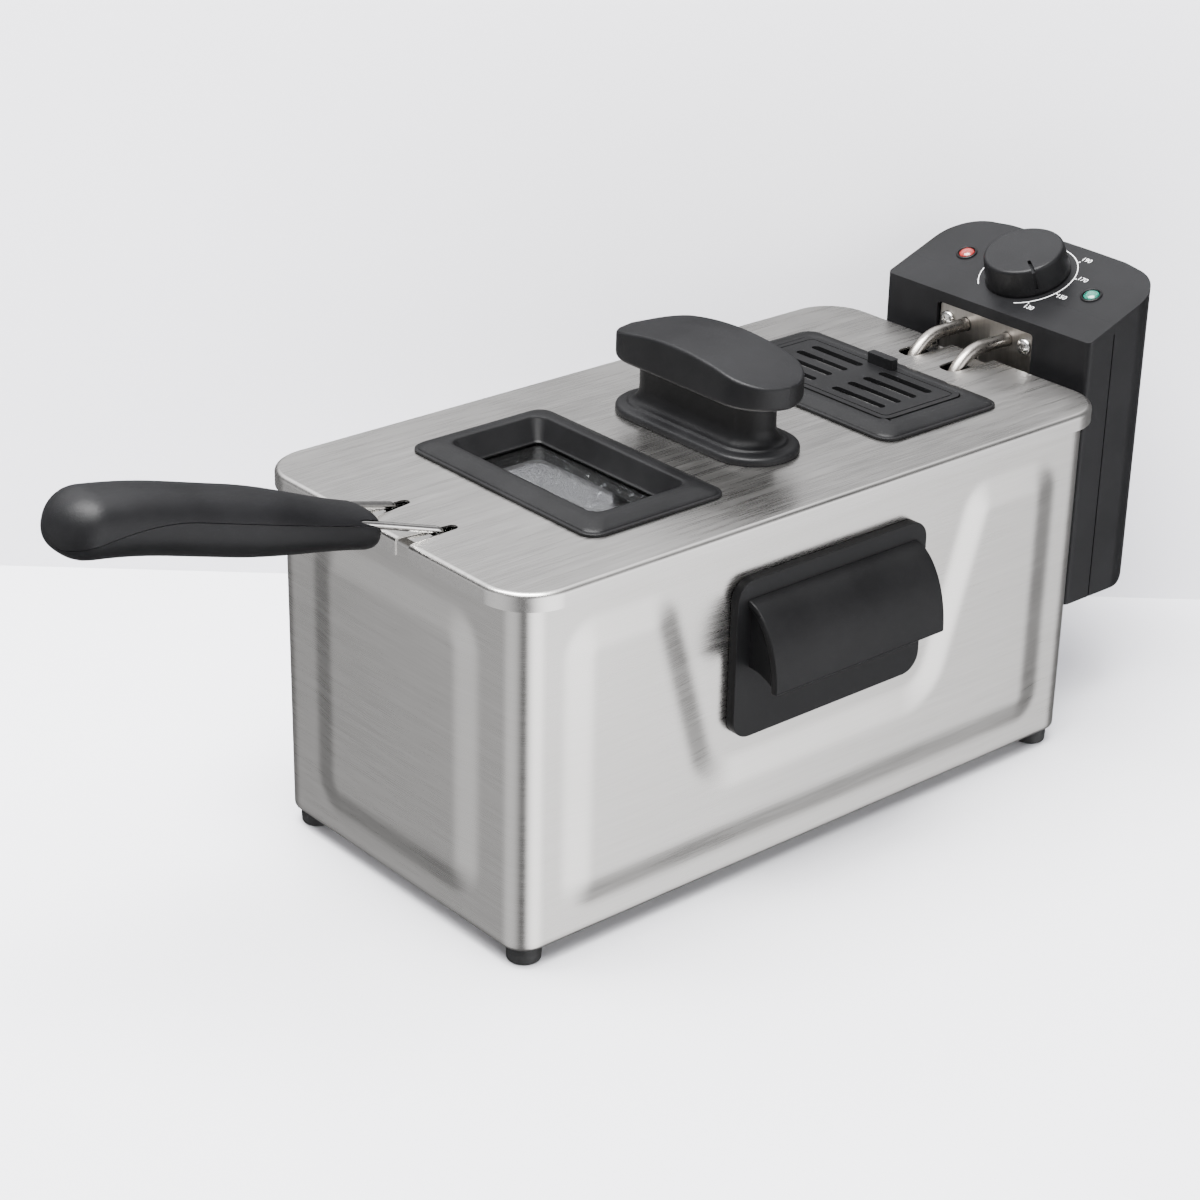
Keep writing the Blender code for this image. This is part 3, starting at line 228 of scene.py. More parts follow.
def turned(name, profile, steps=48):
    bm = bmesh.new()
    loops = []
    for radius, height in profile:
        if radius < 0.000001:
            loops.append([bm.verts.new((0, 0, height))])
            continue
        loops.append([bm.verts.new((radius * math.cos(2 * math.pi * i / steps),
                                    radius * math.sin(2 * math.pi * i / steps), height))
                      for i in range(steps)])
    for upper, lower in zip(loops, loops[1:]):
        for i in range(steps):
            k = (i + 1) % steps
            corners = [upper[i % len(upper)], lower[i % len(lower)],
                       lower[k % len(lower)], upper[k % len(upper)]]
            unique = list(dict.fromkeys(corners))
            if len(unique) > 2:
                bm.faces.new(unique)
    bmesh.ops.remove_doubles(bm, verts=bm.verts, dist=0.000002)
    bmesh.ops.recalc_face_normals(bm, faces=bm.faces)
    return meshObject(name, bm)


def pinProfile(diameter, low, high, chamfer=0.0):
    radius = diameter / 2
    return [(0, high), (radius - chamfer, high), (radius, high - chamfer),
            (radius, low + chamfer), (radius - chamfer, low), (0, low)]


def softProfile(corners, radius, steps=4):
    # a turned profile whose inner corners are rounded
    spots = [Vector((u, v, 0)) for u, v in corners]
    points = [corners[0]]
    for i in range(1, len(spots) - 1):
        arc = roundCorner(spots[i - 1], spots[i], spots[i + 1], radius, steps)
        points += [(p.x, p.y) for p in arc]
    points.append(corners[-1])
    return points


def place(item, spot, tilt=0.0, axis="Y"):
    item.matrix_world = Matrix.Translation(spot) @ Matrix.Rotation(tilt, 4, axis)
    return item


def panelPoint(along, across, above=0.0):
    # a point on the sloping panel, counted from the dial's middle
    return dialSpot + panelAlong * along + Vector((0, across, 0)) + panelUp * above


def panelMatrix(height=0.0):
    return Matrix.Translation(panelPoint(0, 0, height)) @ Matrix.Rotation(-panelTilt, 4, "Y")


def combine(item, tool, operation):
    modifier = item.modifiers.new(operation.lower(), "BOOLEAN")
    modifier.object = tool
    modifier.operation = operation
    modifier.solver = "MANIFOLD"
    tools.setdefault(item.name, []).append(tool)


def cut(item, tool):
    combine(item, tool, "DIFFERENCE")


def join(item, tool):
    combine(item, tool, "UNION")


def softEdges(item, width, segments=3, angle=35):
    modifier = item.modifiers.new("edges", "BEVEL")
    modifier.width = width
    modifier.segments = segments
    modifier.limit_method = "ANGLE"
    modifier.angle_limit = math.radians(angle)
    modifier.use_clamp_overlap = True


def solidify(item, thickness):
    modifier = item.modifiers.new("wall", "SOLIDIFY")
    modifier.thickness = thickness
    modifier.offset = -1.0
    modifier.use_even_offset = True


def dropTools(name):
    for tool in tools.pop(name, []):
        dropTools(tool.name)
        bpy.data.objects.remove(tool)


def settle(item, sharp=35, even=True):
    # apply the modifiers, put the mesh in place and shade it
    bpy.context.view_layer.update()
    evaluated = item.evaluated_get(bpy.context.evaluated_depsgraph_get())
    mesh = bpy.data.meshes.new_from_object(evaluated)
    item.modifiers.clear()
    mesh.transform(item.matrix_world)
    item.matrix_world = Matrix.Identity(4)
    mesh.name = item.name
    item.data = mesh
    dropTools(item.name)
    mesh.shade_smooth()
    mesh.set_sharp_from_angle(angle=math.radians(sharp))
    if even:
        weighted = item.modifiers.new("even shading", "WEIGHTED_NORMAL")
        weighted.keep_sharp = True
    return item


def finish(item, body, material, nodes=()):
    item.data.materials.clear()
    item.data.materials.append(materials[material])
    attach(item, body)
    if nodes:
        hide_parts(*nodes)
    return item


def repaint(node, material):
    item = frame["nodes"][node]
    item.data.materials.clear()
    item.data.materials.append(materials[material])


studioLook = {
    "spot": (-0.8179, -0.9298, 0.6972),
    "heading": 49.186,
    "dip": -25.282,
    "roll": 1.158,
    "lens": 85.03,
    "wallDistance": 1.50,
    "reachLeft": 1.3,
    "reachRight": 3.0,
    "wallHeight": 1.2,
    "wallSlant": 0.020,
    "floorReach": 7.0,
    "floorColour": (0.86, 0.86, 0.89),
    "wallColour": (0.90, 0.895, 0.93),
    "worldColour": (0.98, 0.98, 1.0),
    "worldDim": 0.24,
}
studioSides = [
    {"towards": (0.10, 0.38, 0.90), "inner": 12, "outer": 55, "strength": 3.0},
    {"towards": (0.16, -0.97, -0.22), "inner": 6, "outer": 52, "strength": 4.3},
    {"towards": (-0.97, 0.24, -0.22), "inner": 6, "outer": 52, "strength": 1.1},
]
studioLights = {
    "overhead": {"spot": (-0.55, -0.55, 2.1), "aim": (0.25, 0.2, 0),
                 "size": (1.6, 1.4), "power": 105},
    "wallWash": {"spot": (-0.3, 0.2, 1.7), "aim": (0.9, 1.1, 0.3),
                 "size": (1.4, 0.8), "power": 110},
}


def addCamera():
    heading = math.radians(studioLook["heading"])
    dip = math.radians(studioLook["dip"])
    roll = math.radians(studioLook["roll"])
    ahead = Vector((math.cos(dip) * math.cos(heading), math.cos(dip) * math.sin(heading),
                    math.sin(dip)))
    right = ahead.cross(Vector((0, 0, 1))).normalized()
    up = right.cross(ahead)
    tiltedRight = right * math.cos(roll) + up * math.sin(roll)
    tiltedUp = up * math.cos(roll) - right * math.sin(roll)
    lens = bpy.data.cameras.new("camera")
    lens.lens = studioLook["lens"]
    lens.sensor_width = 36
    lens.clip_start = 0.05
    lens.clip_end = 50
    camera = bpy.data.objects.new("camera", lens)
    bpy.context.scene.collection.objects.link(camera)
    turn = Matrix((tiltedRight, tiltedUp, -ahead)).transposed().to_4x4()
    camera.matrix_world = Matrix.Translation(studioLook["spot"]) @ turn
    bpy.context.scene.camera = camera


def areaLight(name, spot, aim, size, power):
    light = bpy.data.lights.new(name, "AREA")
    light.shape = "RECTANGLE"
    light.size = size[0]
    light.size_y = size[1]
    light.energy = power
    item = bpy.data.objects.new(name, light)
    bpy.context.scene.collection.objects.link(item)
    ahead = Vector(aim) - Vector(spot)
    turn = ahead.to_track_quat("-Z", "Y").to_matrix().to_4x4()
    item.matrix_world = Matrix.Translation(spot) @ turn


def stagePlane(name, corners, material):
    mesh = bpy.data.meshes.new(name)
    mesh.from_pydata(corners, [], [tuple(range(len(corners)))])
    item = addObject(name, mesh)
    item.data.materials.append(material)
    item.visible_glossy = False


def plainMaterial(name, colour, roughness, specular=0.5):
    material = bpy.data.materials.new(name)
    material.use_nodes = True
    shader = material.node_tree.nodes["Principled BSDF"]
    shader.inputs["Base Color"].default_value = (*colour, 1)
    shader.inputs["Roughness"].default_value = roughness
    shader.inputs["Specular IOR Level"].default_value = specular
    return material


def openBehind(material):
    # the wall has one side: from behind it is clear
    tree = material.node_tree
    side = tree.nodes.new("ShaderNodeNewGeometry")
    clear = tree.nodes.new("ShaderNodeBsdfTransparent")
    mix = tree.nodes.new("ShaderNodeMixShader")
    tree.links.new(side.outputs["Backfacing"], mix.inputs["Fac"])
    tree.links.new(tree.nodes["Principled BSDF"].outputs["BSDF"], mix.inputs[1])
    tree.links.new(clear.outputs["BSDF"], mix.inputs[2])
    tree.links.new(mix.outputs["Shader"], tree.nodes["Material Output"].inputs["Surface"])


def paintWorld(tree):
    # a dim room with a few broad bright sides
    ground = tree.nodes["Background"]
    ground.inputs["Color"].default_value = (*studioLook["worldColour"], 1)
    spot = tree.nodes.new("ShaderNodeTexCoord")
    total = None
    for side in studioSides:
        facing = tree.nodes.new("ShaderNodeVectorMath")
        facing.operation = "DOT_PRODUCT"
        facing.inputs[1].default_value = Vector(side["towards"]).normalized()
        tree.links.new(spot.outputs["Generated"], facing.inputs[0])
        fade = tree.nodes.new("ShaderNodeMapRange")
        fade.interpolation_type = "SMOOTHSTEP"
        fade.inputs["From Min"].default_value = math.cos(math.radians(side["outer"]))
        fade.inputs["From Max"].default_value = math.cos(math.radians(side["inner"]))
        fade.inputs["To Min"].default_value = 0 if total else studioLook["worldDim"]
        fade.inputs["To Max"].default_value = side["strength"]
        tree.links.new(facing.outputs["Value"], fade.inputs["Value"])
        value = fade.outputs["Result"]
        total = sumOf(tree, total, value, 1.0) if total else value
    tree.links.new(total, ground.inputs["Strength"])


def makeStudio():
    addCamera()
    floor = plainMaterial("studioFloor", studioLook["floorColour"], 0.16, 0.42)
    wall = plainMaterial("studioWall", studioLook["wallColour"], 0.9, 0.1)
    heading = math.radians(studioLook["heading"])
    ahead = Vector((math.cos(heading), math.sin(heading), 0))
    across = Vector((math.sin(heading), -math.cos(heading), 0))
    foot = Vector(studioLook["spot"]) + ahead * studioLook["wallDistance"]
    foot.z = 0
    along = across - ahead * studioLook["wallSlant"]
    left = foot - along * studioLook["reachLeft"]
    right = foot + along * studioLook["reachRight"]
    reach = studioLook["floorReach"]
    corners = ((-reach, -reach, 0), (reach, -reach, 0), (reach, reach, 0), (-reach, reach, 0))
    stagePlane("floor", corners, floor)
    up = Vector((0, 0, studioLook["wallHeight"]))
    stagePlane("backdrop", [left, right, right + up, left + up], wall)
    openBehind(wall)
    world = bpy.data.worlds.new("studio")
    world.use_nodes = True
    paintWorld(world.node_tree)
    bpy.context.scene.world = world
    for name, light in studioLights.items():
        areaLight(name, **light)
    print("studio ready")


def newMaterial(name):
    material = bpy.data.materials.new(name)
    material.use_nodes = True
    tree = material.node_tree
    materials[name] = material
    return tree, tree.nodes["Principled BSDF"]


def grain(tree, scale, stretch=(1, 1, 1), detail=3.0, roughness=0.5):
    # noise in the object's own metres, stretched along one way
    spot = tree.nodes.new("ShaderNodeTexCoord")
    mapping = tree.nodes.new("ShaderNodeMapping")
    mapping.inputs["Scale"].default_value = stretch
    tree.links.new(spot.outputs["Object"], mapping.inputs["Vector"])
    noise = tree.nodes.new("ShaderNodeTexNoise")
    noise.inputs["Scale"].default_value = scale
    noise.inputs["Detail"].default_value = detail
    noise.inputs["Roughness"].default_value = roughness
    tree.links.new(mapping.outputs["Vector"], noise.inputs["Vector"])
    return noise.outputs["Fac"]


def spread(tree, value, low, high, fromLow=0.35, fromHigh=0.65):
    node = tree.nodes.new("ShaderNodeMapRange")
    node.inputs["From Min"].default_value = fromLow
    node.inputs["From Max"].default_value = fromHigh
    node.inputs["To Min"].default_value = low
    node.inputs["To Max"].default_value = high
    tree.links.new(value, node.inputs["Value"])
    return node.outputs["Result"]


def tint(tree, value, dark, light):
    node = tree.nodes.new("ShaderNodeMix")
    node.data_type = "RGBA"
    node.inputs[6].default_value = (*dark, 1)
    node.inputs[7].default_value = (*light, 1)
    tree.links.new(value, node.inputs["Factor"])
    return node.outputs[2]


def bump(tree, shader, value, strength, distance, under=None):
    node = tree.nodes.new("ShaderNodeBump")
    node.inputs["Strength"].default_value = strength
    node.inputs["Distance"].default_value = distance
    tree.links.new(value, node.inputs["Height"])
    if under:
        tree.links.new(under, node.inputs["Normal"])
    tree.links.new(node.outputs["Normal"], shader.inputs["Normal"])
    return node.outputs["Normal"]


def sumOf(tree, first, second, share=0.5):
    node = tree.nodes.new("ShaderNodeMath")
    node.operation = "MULTIPLY_ADD"
    node.inputs[1].default_value = share
    tree.links.new(second, node.inputs[0])
    tree.links.new(first, node.inputs[2])
    return node.outputs[0]


def steelMaterial(name, dark, light, rough, stretch, streaks, smudge=0.05):
    # satin steel: fine brush lines along one way, and broad faint smudges
    tree, shader = newMaterial(name)
    shader.inputs["Metallic"].default_value = 1.0
    fine = grain(tree, 1500, stretch, 4.0, 0.6)
    broad = grain(tree, 420, stretch, 2.0, 0.5)
    clouds = grain(tree, 9, (1, 1, 1), 3.0, 0.55)
    lines = sumOf(tree, fine, broad, 0.6)
    colour = tint(tree, spread(tree, lines, 0, 1, 0.55, 1.05), dark, light)
    tree.links.new(colour, shader.inputs["Base Color"])
    rougher = sumOf(tree, spread(tree, lines, rough - 0.05, rough + 0.05, 0.5, 1.1),
                    spread(tree, clouds, -smudge, smudge, 0.3, 0.7), 1.0)
    tree.links.new(rougher, shader.inputs["Roughness"])
    bump(tree, shader, lines, streaks, 0.00006)


def plasticMaterial(name, colour, rough, grainScale, grainDepth, specular):
    # moulded plastic: spark-eroded grain, slight patches of wear in the gloss
    tree, shader = newMaterial(name)
    shader.inputs["Specular IOR Level"].default_value = specular
    fine = grain(tree, grainScale, (1, 1, 1), 2.0, 0.5)
    pits = grain(tree, grainScale * 0.37, (1, 1, 1), 3.0, 0.6)
    clouds = grain(tree, 26, (1, 1, 1), 4.0, 0.6)
    lighter = tuple(min(1.0, c * 1.3 + 0.001) for c in colour)
    tree.links.new(tint(tree, spread(tree, clouds, 0, 1), colour, lighter),
                   shader.inputs["Base Color"])
    tree.links.new(sumOf(tree, spread(tree, clouds, rough - 0.04, rough + 0.04),
                         spread(tree, fine, -0.05, 0.05), 1.0), shader.inputs["Roughness"])
    bump(tree, shader, sumOf(tree, fine, pits, 0.7), grainDepth, 0.00025)


def lensMaterial(name, colour, glow):
    tree, shader = newMaterial(name)
    ripples = grain(tree, 900, (1, 1, 1), 1.0, 0.4)
    deep = tuple(c * 0.6 for c in colour)
    tree.links.new(tint(tree, spread(tree, ripples, 0, 1), deep, colour),
                   shader.inputs["Base Color"])
    tree.links.new(spread(tree, ripples, 0.10, 0.22), shader.inputs["Roughness"])
    shader.inputs["Emission Color"].default_value = (*colour, 1)
    shader.inputs["Emission Strength"].default_value = glow
    shader.inputs["Coat Weight"].default_value = 0.6
    bump(tree, shader, ripples, 0.10, 0.0003)


def glassMaterial():
    tree, shader = newMaterial("glass")
    shader.inputs["Transmission Weight"].default_value = 1.0
    shader.inputs["IOR"].default_value = 1.45
    film = grain(tree, 40, (1, 1, 1), 5.0, 0.6)
    tree.links.new(spread(tree, film, 0.02, 0.10), shader.inputs["Roughness"])
    tree.links.new(tint(tree, spread(tree, film, 0, 1), (0.62, 0.64, 0.65),
                        (0.80, 0.82, 0.82)), shader.inputs["Base Color"])
    tree, shader = newMaterial("water")
    shader.inputs["Transmission Weight"].default_value = 1.0
    shader.inputs["IOR"].default_value = 1.33
    ripple = grain(tree, 700, (1, 1, 1), 1.0, 0.5)
    tree.links.new(spread(tree, ripple, 0.0, 0.05), shader.inputs["Roughness"])


def feltMaterial():
    tree, shader = newMaterial("felt")
    fibres = grain(tree, 1400, (1, 1, 0.3), 6.0, 0.7)
    clumps = grain(tree, 160, (1, 1, 1), 4.0, 0.6)
    tree.links.new(tint(tree, spread(tree, clumps, 0, 1), (0.012, 0.012, 0.012),
                        (0.035, 0.034, 0.032)), shader.inputs["Base Color"])
    tree.links.new(spread(tree, fibres, 0.88, 1.0), shader.inputs["Roughness"])
    shader.inputs["Sheen Weight"].default_value = 0.25
    bump(tree, shader, sumOf(tree, fibres, clumps, 1.0), 0.6, 0.0008)


# dark and light tone, roughness, brush direction, depth of the brush lines
steels = {
    "lidSteel": ((0.50, 0.488, 0.472), (0.57, 0.558, 0.54), 0.29, (0.03, 1, 1), 0.045),
    "wallSteel": ((0.50, 0.488, 0.468), (0.56, 0.548, 0.528), 0.30, (0.03, 0.03, 1), 0.05),
    "brightSteel": ((0.62, 0.61, 0.59), (0.72, 0.71, 0.69), 0.20, (1, 1, 0.05), 0.10),
    "tubeSteel": ((0.26, 0.242, 0.222), (0.36, 0.338, 0.312), 0.30, (1, 1, 1), 0.12),
    "plateSteel": ((0.30, 0.283, 0.262), (0.38, 0.362, 0.34), 0.34, (1, 1, 0.05), 0.10),
    "wireSteel": ((0.62, 0.61, 0.60), (0.74, 0.73, 0.71), 0.16, (1, 1, 1), 0.06),
}
# colour, roughness, grain scale and depth, gloss
plastics = {
    "blackPlastic": ((0.0045, 0.0045, 0.0048), 0.38, 2600, 0.30, 0.13),
    "smoothBlack": ((0.0055, 0.0055, 0.006), 0.38, 3000, 0.12, 0.12),
    "gripBlack": ((0.0045, 0.0045, 0.005), 0.42, 2400, 0.34, 0.17),
    "rubber": ((0.012, 0.012, 0.012), 0.62, 1800, 0.30, 0.3),
    "brown": ((0.060, 0.035, 0.022), 0.45, 1600, 0.20, 0.4),
    "redPlastic": ((0.42, 0.030, 0.022), 0.32, 2000, 0.10, 0.4),
    "print": ((0.62, 0.62, 0.62), 0.5, 3000, 0.05, 0.4),
}


def makeMaterials():
    for name, look in steels.items():
        steelMaterial(name, *look)
    for name, look in plastics.items():
        plasticMaterial(name, *look)
    lensMaterial("redLens", (0.26, 0.018, 0.016), 0.03)
    lensMaterial("greenLens", (0.012, 0.14, 0.10), 0.03)
    glassMaterial()
    feltMaterial()
    print("materials ready:", len(materials))


makeStudio()
makeMaterials()


bodyLook = {
    "corner": 0.012,
    "ledge": 0.026,
    "foldRadius": 0.0022,
    "rise": 0.0022,
    "slope": 0.0125,
    "softness": 0.20,
    "inset": 0.025,
    "frontInset": 0.0315,
    "low": 0.023,
    "topInset": 0.0206,
    "dipTop": 0.036,
    "dipLow": 0.007,
    "dipFloor": 0.012,
    "outlineRound": 0.016,
    "frontRound": 0.018,
    "step": 0.0021,
    "sheet": 0.001,
}


def distanceInside(u, v, outline):
    # distance of many points to a closed outline, positive inside
    spots = np.array(outline)
    ends = np.roll(spots, -1, axis=0)
    best = np.full(u.shape, 1e9)
    inside = np.zeros(u.shape, bool)
    for (u0, v0), (u1, v1) in zip(spots, ends):
        du, dv = u1 - u0, v1 - v0
        length = du * du + dv * dv
        if length < 1e-14:
            continue
        t = np.clip(((u - u0) * du + (v - v0) * dv) / length, 0, 1)
        best = np.minimum(best, np.hypot(u - u0 - t * du, v - v0 - t * dv))
        if v0 != v1:
            crosses = ((v0 > v) != (v1 > v)) & (u < u0 + (v - v0) * du / dv)
            inside ^= crosses
    return np.where(inside, best, -best)


def pressedRise(distance):
    # a straight slope whose two ends are slightly rounded
    t = distance / bodyLook["slope"]
    k = bodyLook["softness"]
    low = np.where(t < k, np.clip(t + k, 0, None) ** 2 / (4 * k), t)
    high = np.where(t > 1 - k, 1 - np.clip(1 + k - t, 0, None) ** 2 / (4 * k), low)
    return bodyLook["rise"] * np.clip(high, 0, 1)


def sideOutline():
    plateLow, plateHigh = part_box("side_handle_near")
    plate = (plateHigh.x - plateLow.x) / 2
    left = bodyLength / 2 - bodyLook["inset"]
    high = bodyHigh.z - bodyLook["topInset"]
    dipTop = plate + bodyLook["dipTop"]
    dipLow = plate + bodyLook["dipLow"]
    floor = plateLow.z - bodyLook["dipFloor"]
    low = bodyLook["low"]
    corners = [(-left, low), (left, low), (left, high), (dipTop, high), (dipLow, floor),
               (-dipLow, floor), (-dipTop, high), (-left, high)]
    return roundedOutline(corners, bodyLook["outlineRound"])


def frontOutline():
    high = bodyHigh.z - bodyLook["topInset"]
    low = bodyLook["low"]
    return roundedRectangle(bodyWidth - 2 * bodyLook["frontInset"], high - low,
                            bodyLook["frontRound"], 0, (high + low) / 2)


def perimeter(step):
    # points round the body in plan, with their outward direction
    radius = bodyLook["corner"]
    reachX = bodyLength / 2 - radius
    reachY = bodyWidth / 2 - radius
    points = []
    corners = ((1, 1, 0), (-1, 1, 90), (-1, -1, 180), (1, -1, 270))
    for i, (signX, signY, start) in enumerate(corners):
        for j in range(9):
            angle = math.radians(start + 90 * j / 8)
            away = (math.cos(angle), math.sin(angle))
            points.append((signX * reachX + radius * away[0],
                           signY * reachY + radius * away[1], *away))
        nextX, nextY, _ = corners[(i + 1) % 4]
        square = math.radians(start + 90)
        away = (round(math.cos(square)), round(math.sin(square)))
        span = 2 * (reachX if away[1] else reachY)
        first = points[-1]
        count = int(span / step)
        for j in range(1, count):
            points.append((first[0] + (nextX - signX) * reachX * j / count,
                           first[1] + (nextY - signY) * reachY * j / count, *away))
    return points


def makeBody():
    plan = perimeter(bodyLook["step"])
    fold = bodyLook["foldRadius"]
    bottom = bodyLow.z
    profile = [(-bodyLook["ledge"], bottom), (-bodyLook["ledge"] * 0.5, bottom)]
    for i in range(6):
        angle = math.radians(90 * i / 5)
        profile.append((-fold * (1 - math.sin(angle)), bottom + fold * (1 - math.cos(angle))))
    rows = int((bodyHigh.z - bottom - fold) / bodyLook["step"])
    for i in range(1, rows + 1):
        profile.append((0, bottom + fold + (bodyHigh.z - bottom - fold) * i / rows))
    spots = np.array(plan)
    heights = np.array([z for _, z in profile])
    outs = np.array([out for out, _ in profile])
    x = spots[:, 0][None, :] + outs[:, None] * spots[:, 2][None, :]
    y = spots[:, 1][None, :] + outs[:, None] * spots[:, 3][None, :]
    z = np.repeat(heights[:, None], len(plan), axis=1)
    awayX, awayY = spots[:, 2][None, :], spots[:, 3][None, :]
    side = pressedRise(distanceInside(x, z, sideOutline())) * (np.abs(awayY) > 0.99)
    front = pressedRise(distanceInside(y, z, frontOutline())) * (awayX < -0.99)
    rise = (side + front) * (outs[:, None] > -0.0001)
    x = x + rise * awayX + middleX
    y = y + rise * awayY
    rings = [list(zip(x[i], y[i], z[i])) for i in range(len(profile))]
    shell = loft("body_shell", rings, False, False)
    solidify(shell, bodyLook["sheet"])
    settle(shell, 50, even=False)
    finish(shell, "housing", "wallSteel", ["outer_housing"])
    repaint("base_plate", "wallSteel")
    repaint("rear_bracket", "brightSteel")


def makeFeet():
    for end in ("front", "rear"):
        for side in ("near", "far"):
            node = "foot_%s_%s" % (end, side)
            low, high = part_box(node)
            radius = (high.x - low.x) / 2
            profile = softProfile([(0, high.z), (radius * 0.9, high.z), (radius, high.z * 0.55),
                                   (radius * 0.97, 0.0004), (radius * 0.8, 0), (0, 0)], 0.0008)
            profile = [(u, max(v, 0.0)) for u, v in profile]
            foot = turned(node.replace("foot", "rubber_foot"), profile)
            place(foot, ((low.x + high.x) / 2, (low.y + high.y) / 2, 0))
            finish(settle(foot), "housing", "rubber", [node])


handleLook = {
    "plateThick": 0.005, "plateCorner": 0.010, "plateEdge": 0.0017,
    "hoodLength": 0.110, "reach": 0.024, "drop": 0.041, "thick": 0.0040, "topInset": 0.009,
    "cheekInset": 0.0024, "cheekThick": 0.003, "cheekLow": 0.0062, "hoodEdge": 0.0013,
}


def makeSideHandle(side, word):
    look = handleLook
    node = "side_handle_" + word
    low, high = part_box(node)
    size = (high.x - low.x, high.z - low.z)
    middle = (high.z + low.z) / 2
    face = bodyWidth / 2 + gap
    outline = roundedRectangle(size[0], size[1], look["plateCorner"], middleX, middle)
    faces = sorted((side * face, side * (face + look["plateThick"])))
    handle = slab("carry_handle_" + word, [outline], faces[0], faces[1], "Y")
    softEdges(handle, look["plateEdge"], 4)
    start = face + look["plateThick"] - 0.003
    top = high.z - look["topInset"]
    outer = arcPoints(0, 0, look["reach"], look["drop"], 0, 84, 28)
    inner = arcPoints(0, 0, look["reach"] - look["thick"], look["drop"] - look["thick"], 84, 0, 28)
    band = [(side * (start + y), top - look["drop"] + z) for y, z in outer + inner]
    hoodReach = look["hoodLength"] / 2
    hood = slab("hood", [band], middleX - hoodReach, middleX + hoodReach, "X")
    softEdges(hood, look["hoodEdge"], 3)
    join(handle, hood)
    base = top - look["drop"]
    for inset, shrink in ((look["cheekInset"], 0.0010), (look["cheekInset"] + 0.0014, 0.0024)):
        reachOut = look["reach"] - shrink
        reachUp = look["drop"] - shrink
        curve = arcPoints(0, 0, reachOut, reachUp, 6, 84, 20)
        cheek = [(side * (start + y), base + z) for y, z in curve]
        root = start - 0.001
        cheek += [(side * root, base + reachUp * 0.98), (side * root, base + look["cheekLow"])]
        for share, lift in ((0.20, 0.0000), (0.42, -0.0006), (0.62, -0.0022), (0.80, -0.0044)):
            cheek.append((side * (start + reachOut * share), base + look["cheekLow"] + lift))
        for end in (-1, 1):
            x = middleX + end * (hoodReach - inset)
            ends = sorted((x, x - end * look["cheekThick"]))
            join(handle, slab("cheek", [cheek], ends[0], ends[1], "X"))
    settle(handle, 30)
    finish(handle, "housing", "blackPlastic", [node])
    for end in ("front", "rear"):
        repaint("handle_screw_%s_%s" % (word, end), "brightSteel")


makeBody()
makeFeet()
makeSideHandle(-1, "near")
makeSideHandle(1, "far")
print("body and handles ready")


panLook = {"inset": 0.008, "corner": 0.020, "edge": 0.012, "rimDrop": 0.004, "sheet": 0.001}


def makePan():
    look = panLook
    low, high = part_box("oil_pan")
    size = (bodyLength - 2 * look["inset"], bodyWidth - 2 * look["inset"])
    lip = (bodyLength + 2 * gap, bodyWidth + 2 * gap)
    centre = (middleX, 0)
    rings = []
    for i in range(9):
        angle = math.radians(90 * i / 8)
        inset = look["edge"] * (1 - math.sin(angle))
        height = low.z + look["edge"] * (1 - math.cos(angle))
        rings.append(ring(larger(size, -inset), look["corner"] - inset, height, centre))
    under = high.z - look["sheet"]
    for share in (0.30, 0.62, 0.63, 0.90, 0.91):
        rings.append(ring(size, look["corner"], low.z + (under - low.z) * share, centre))
    rings.append(ring(size, look["corner"], under, centre))
    rings.append(ring(lip, bodyLook["corner"] + gap, under, centre))
    rings.append(ring(lip, bodyLook["corner"] + gap, under - look["rimDrop"], centre))
    pan = loft("pan_shell", rings, True, False)
    solidify(pan, look["sheet"])
    settle(pan, 40)
    finish(pan, "oil_pan", "brightSteel", ["oil_pan"])


makePan()


basketLook = {
    "corner": 0.020, "pitch": 0.0056, "meshWire": 0.0008, "rimWire": 0.0040, "ribWire": 0.0028,
    "handleWire": 0.0036, "crossing": 0.8, "hoopOut": 0.6, "underRun": 0.006,
}


def basketWall(half, corner, low, top):
    # one mesh wire: down a wall, round under the floor and up the other wall
    points = [(-half, top), (-half, low), (half, low), (half, top)]
    route = filletRoute([(a, 0, b) for a, b in points], corner, 5)
    return [(p.x, p.z) for p in route]


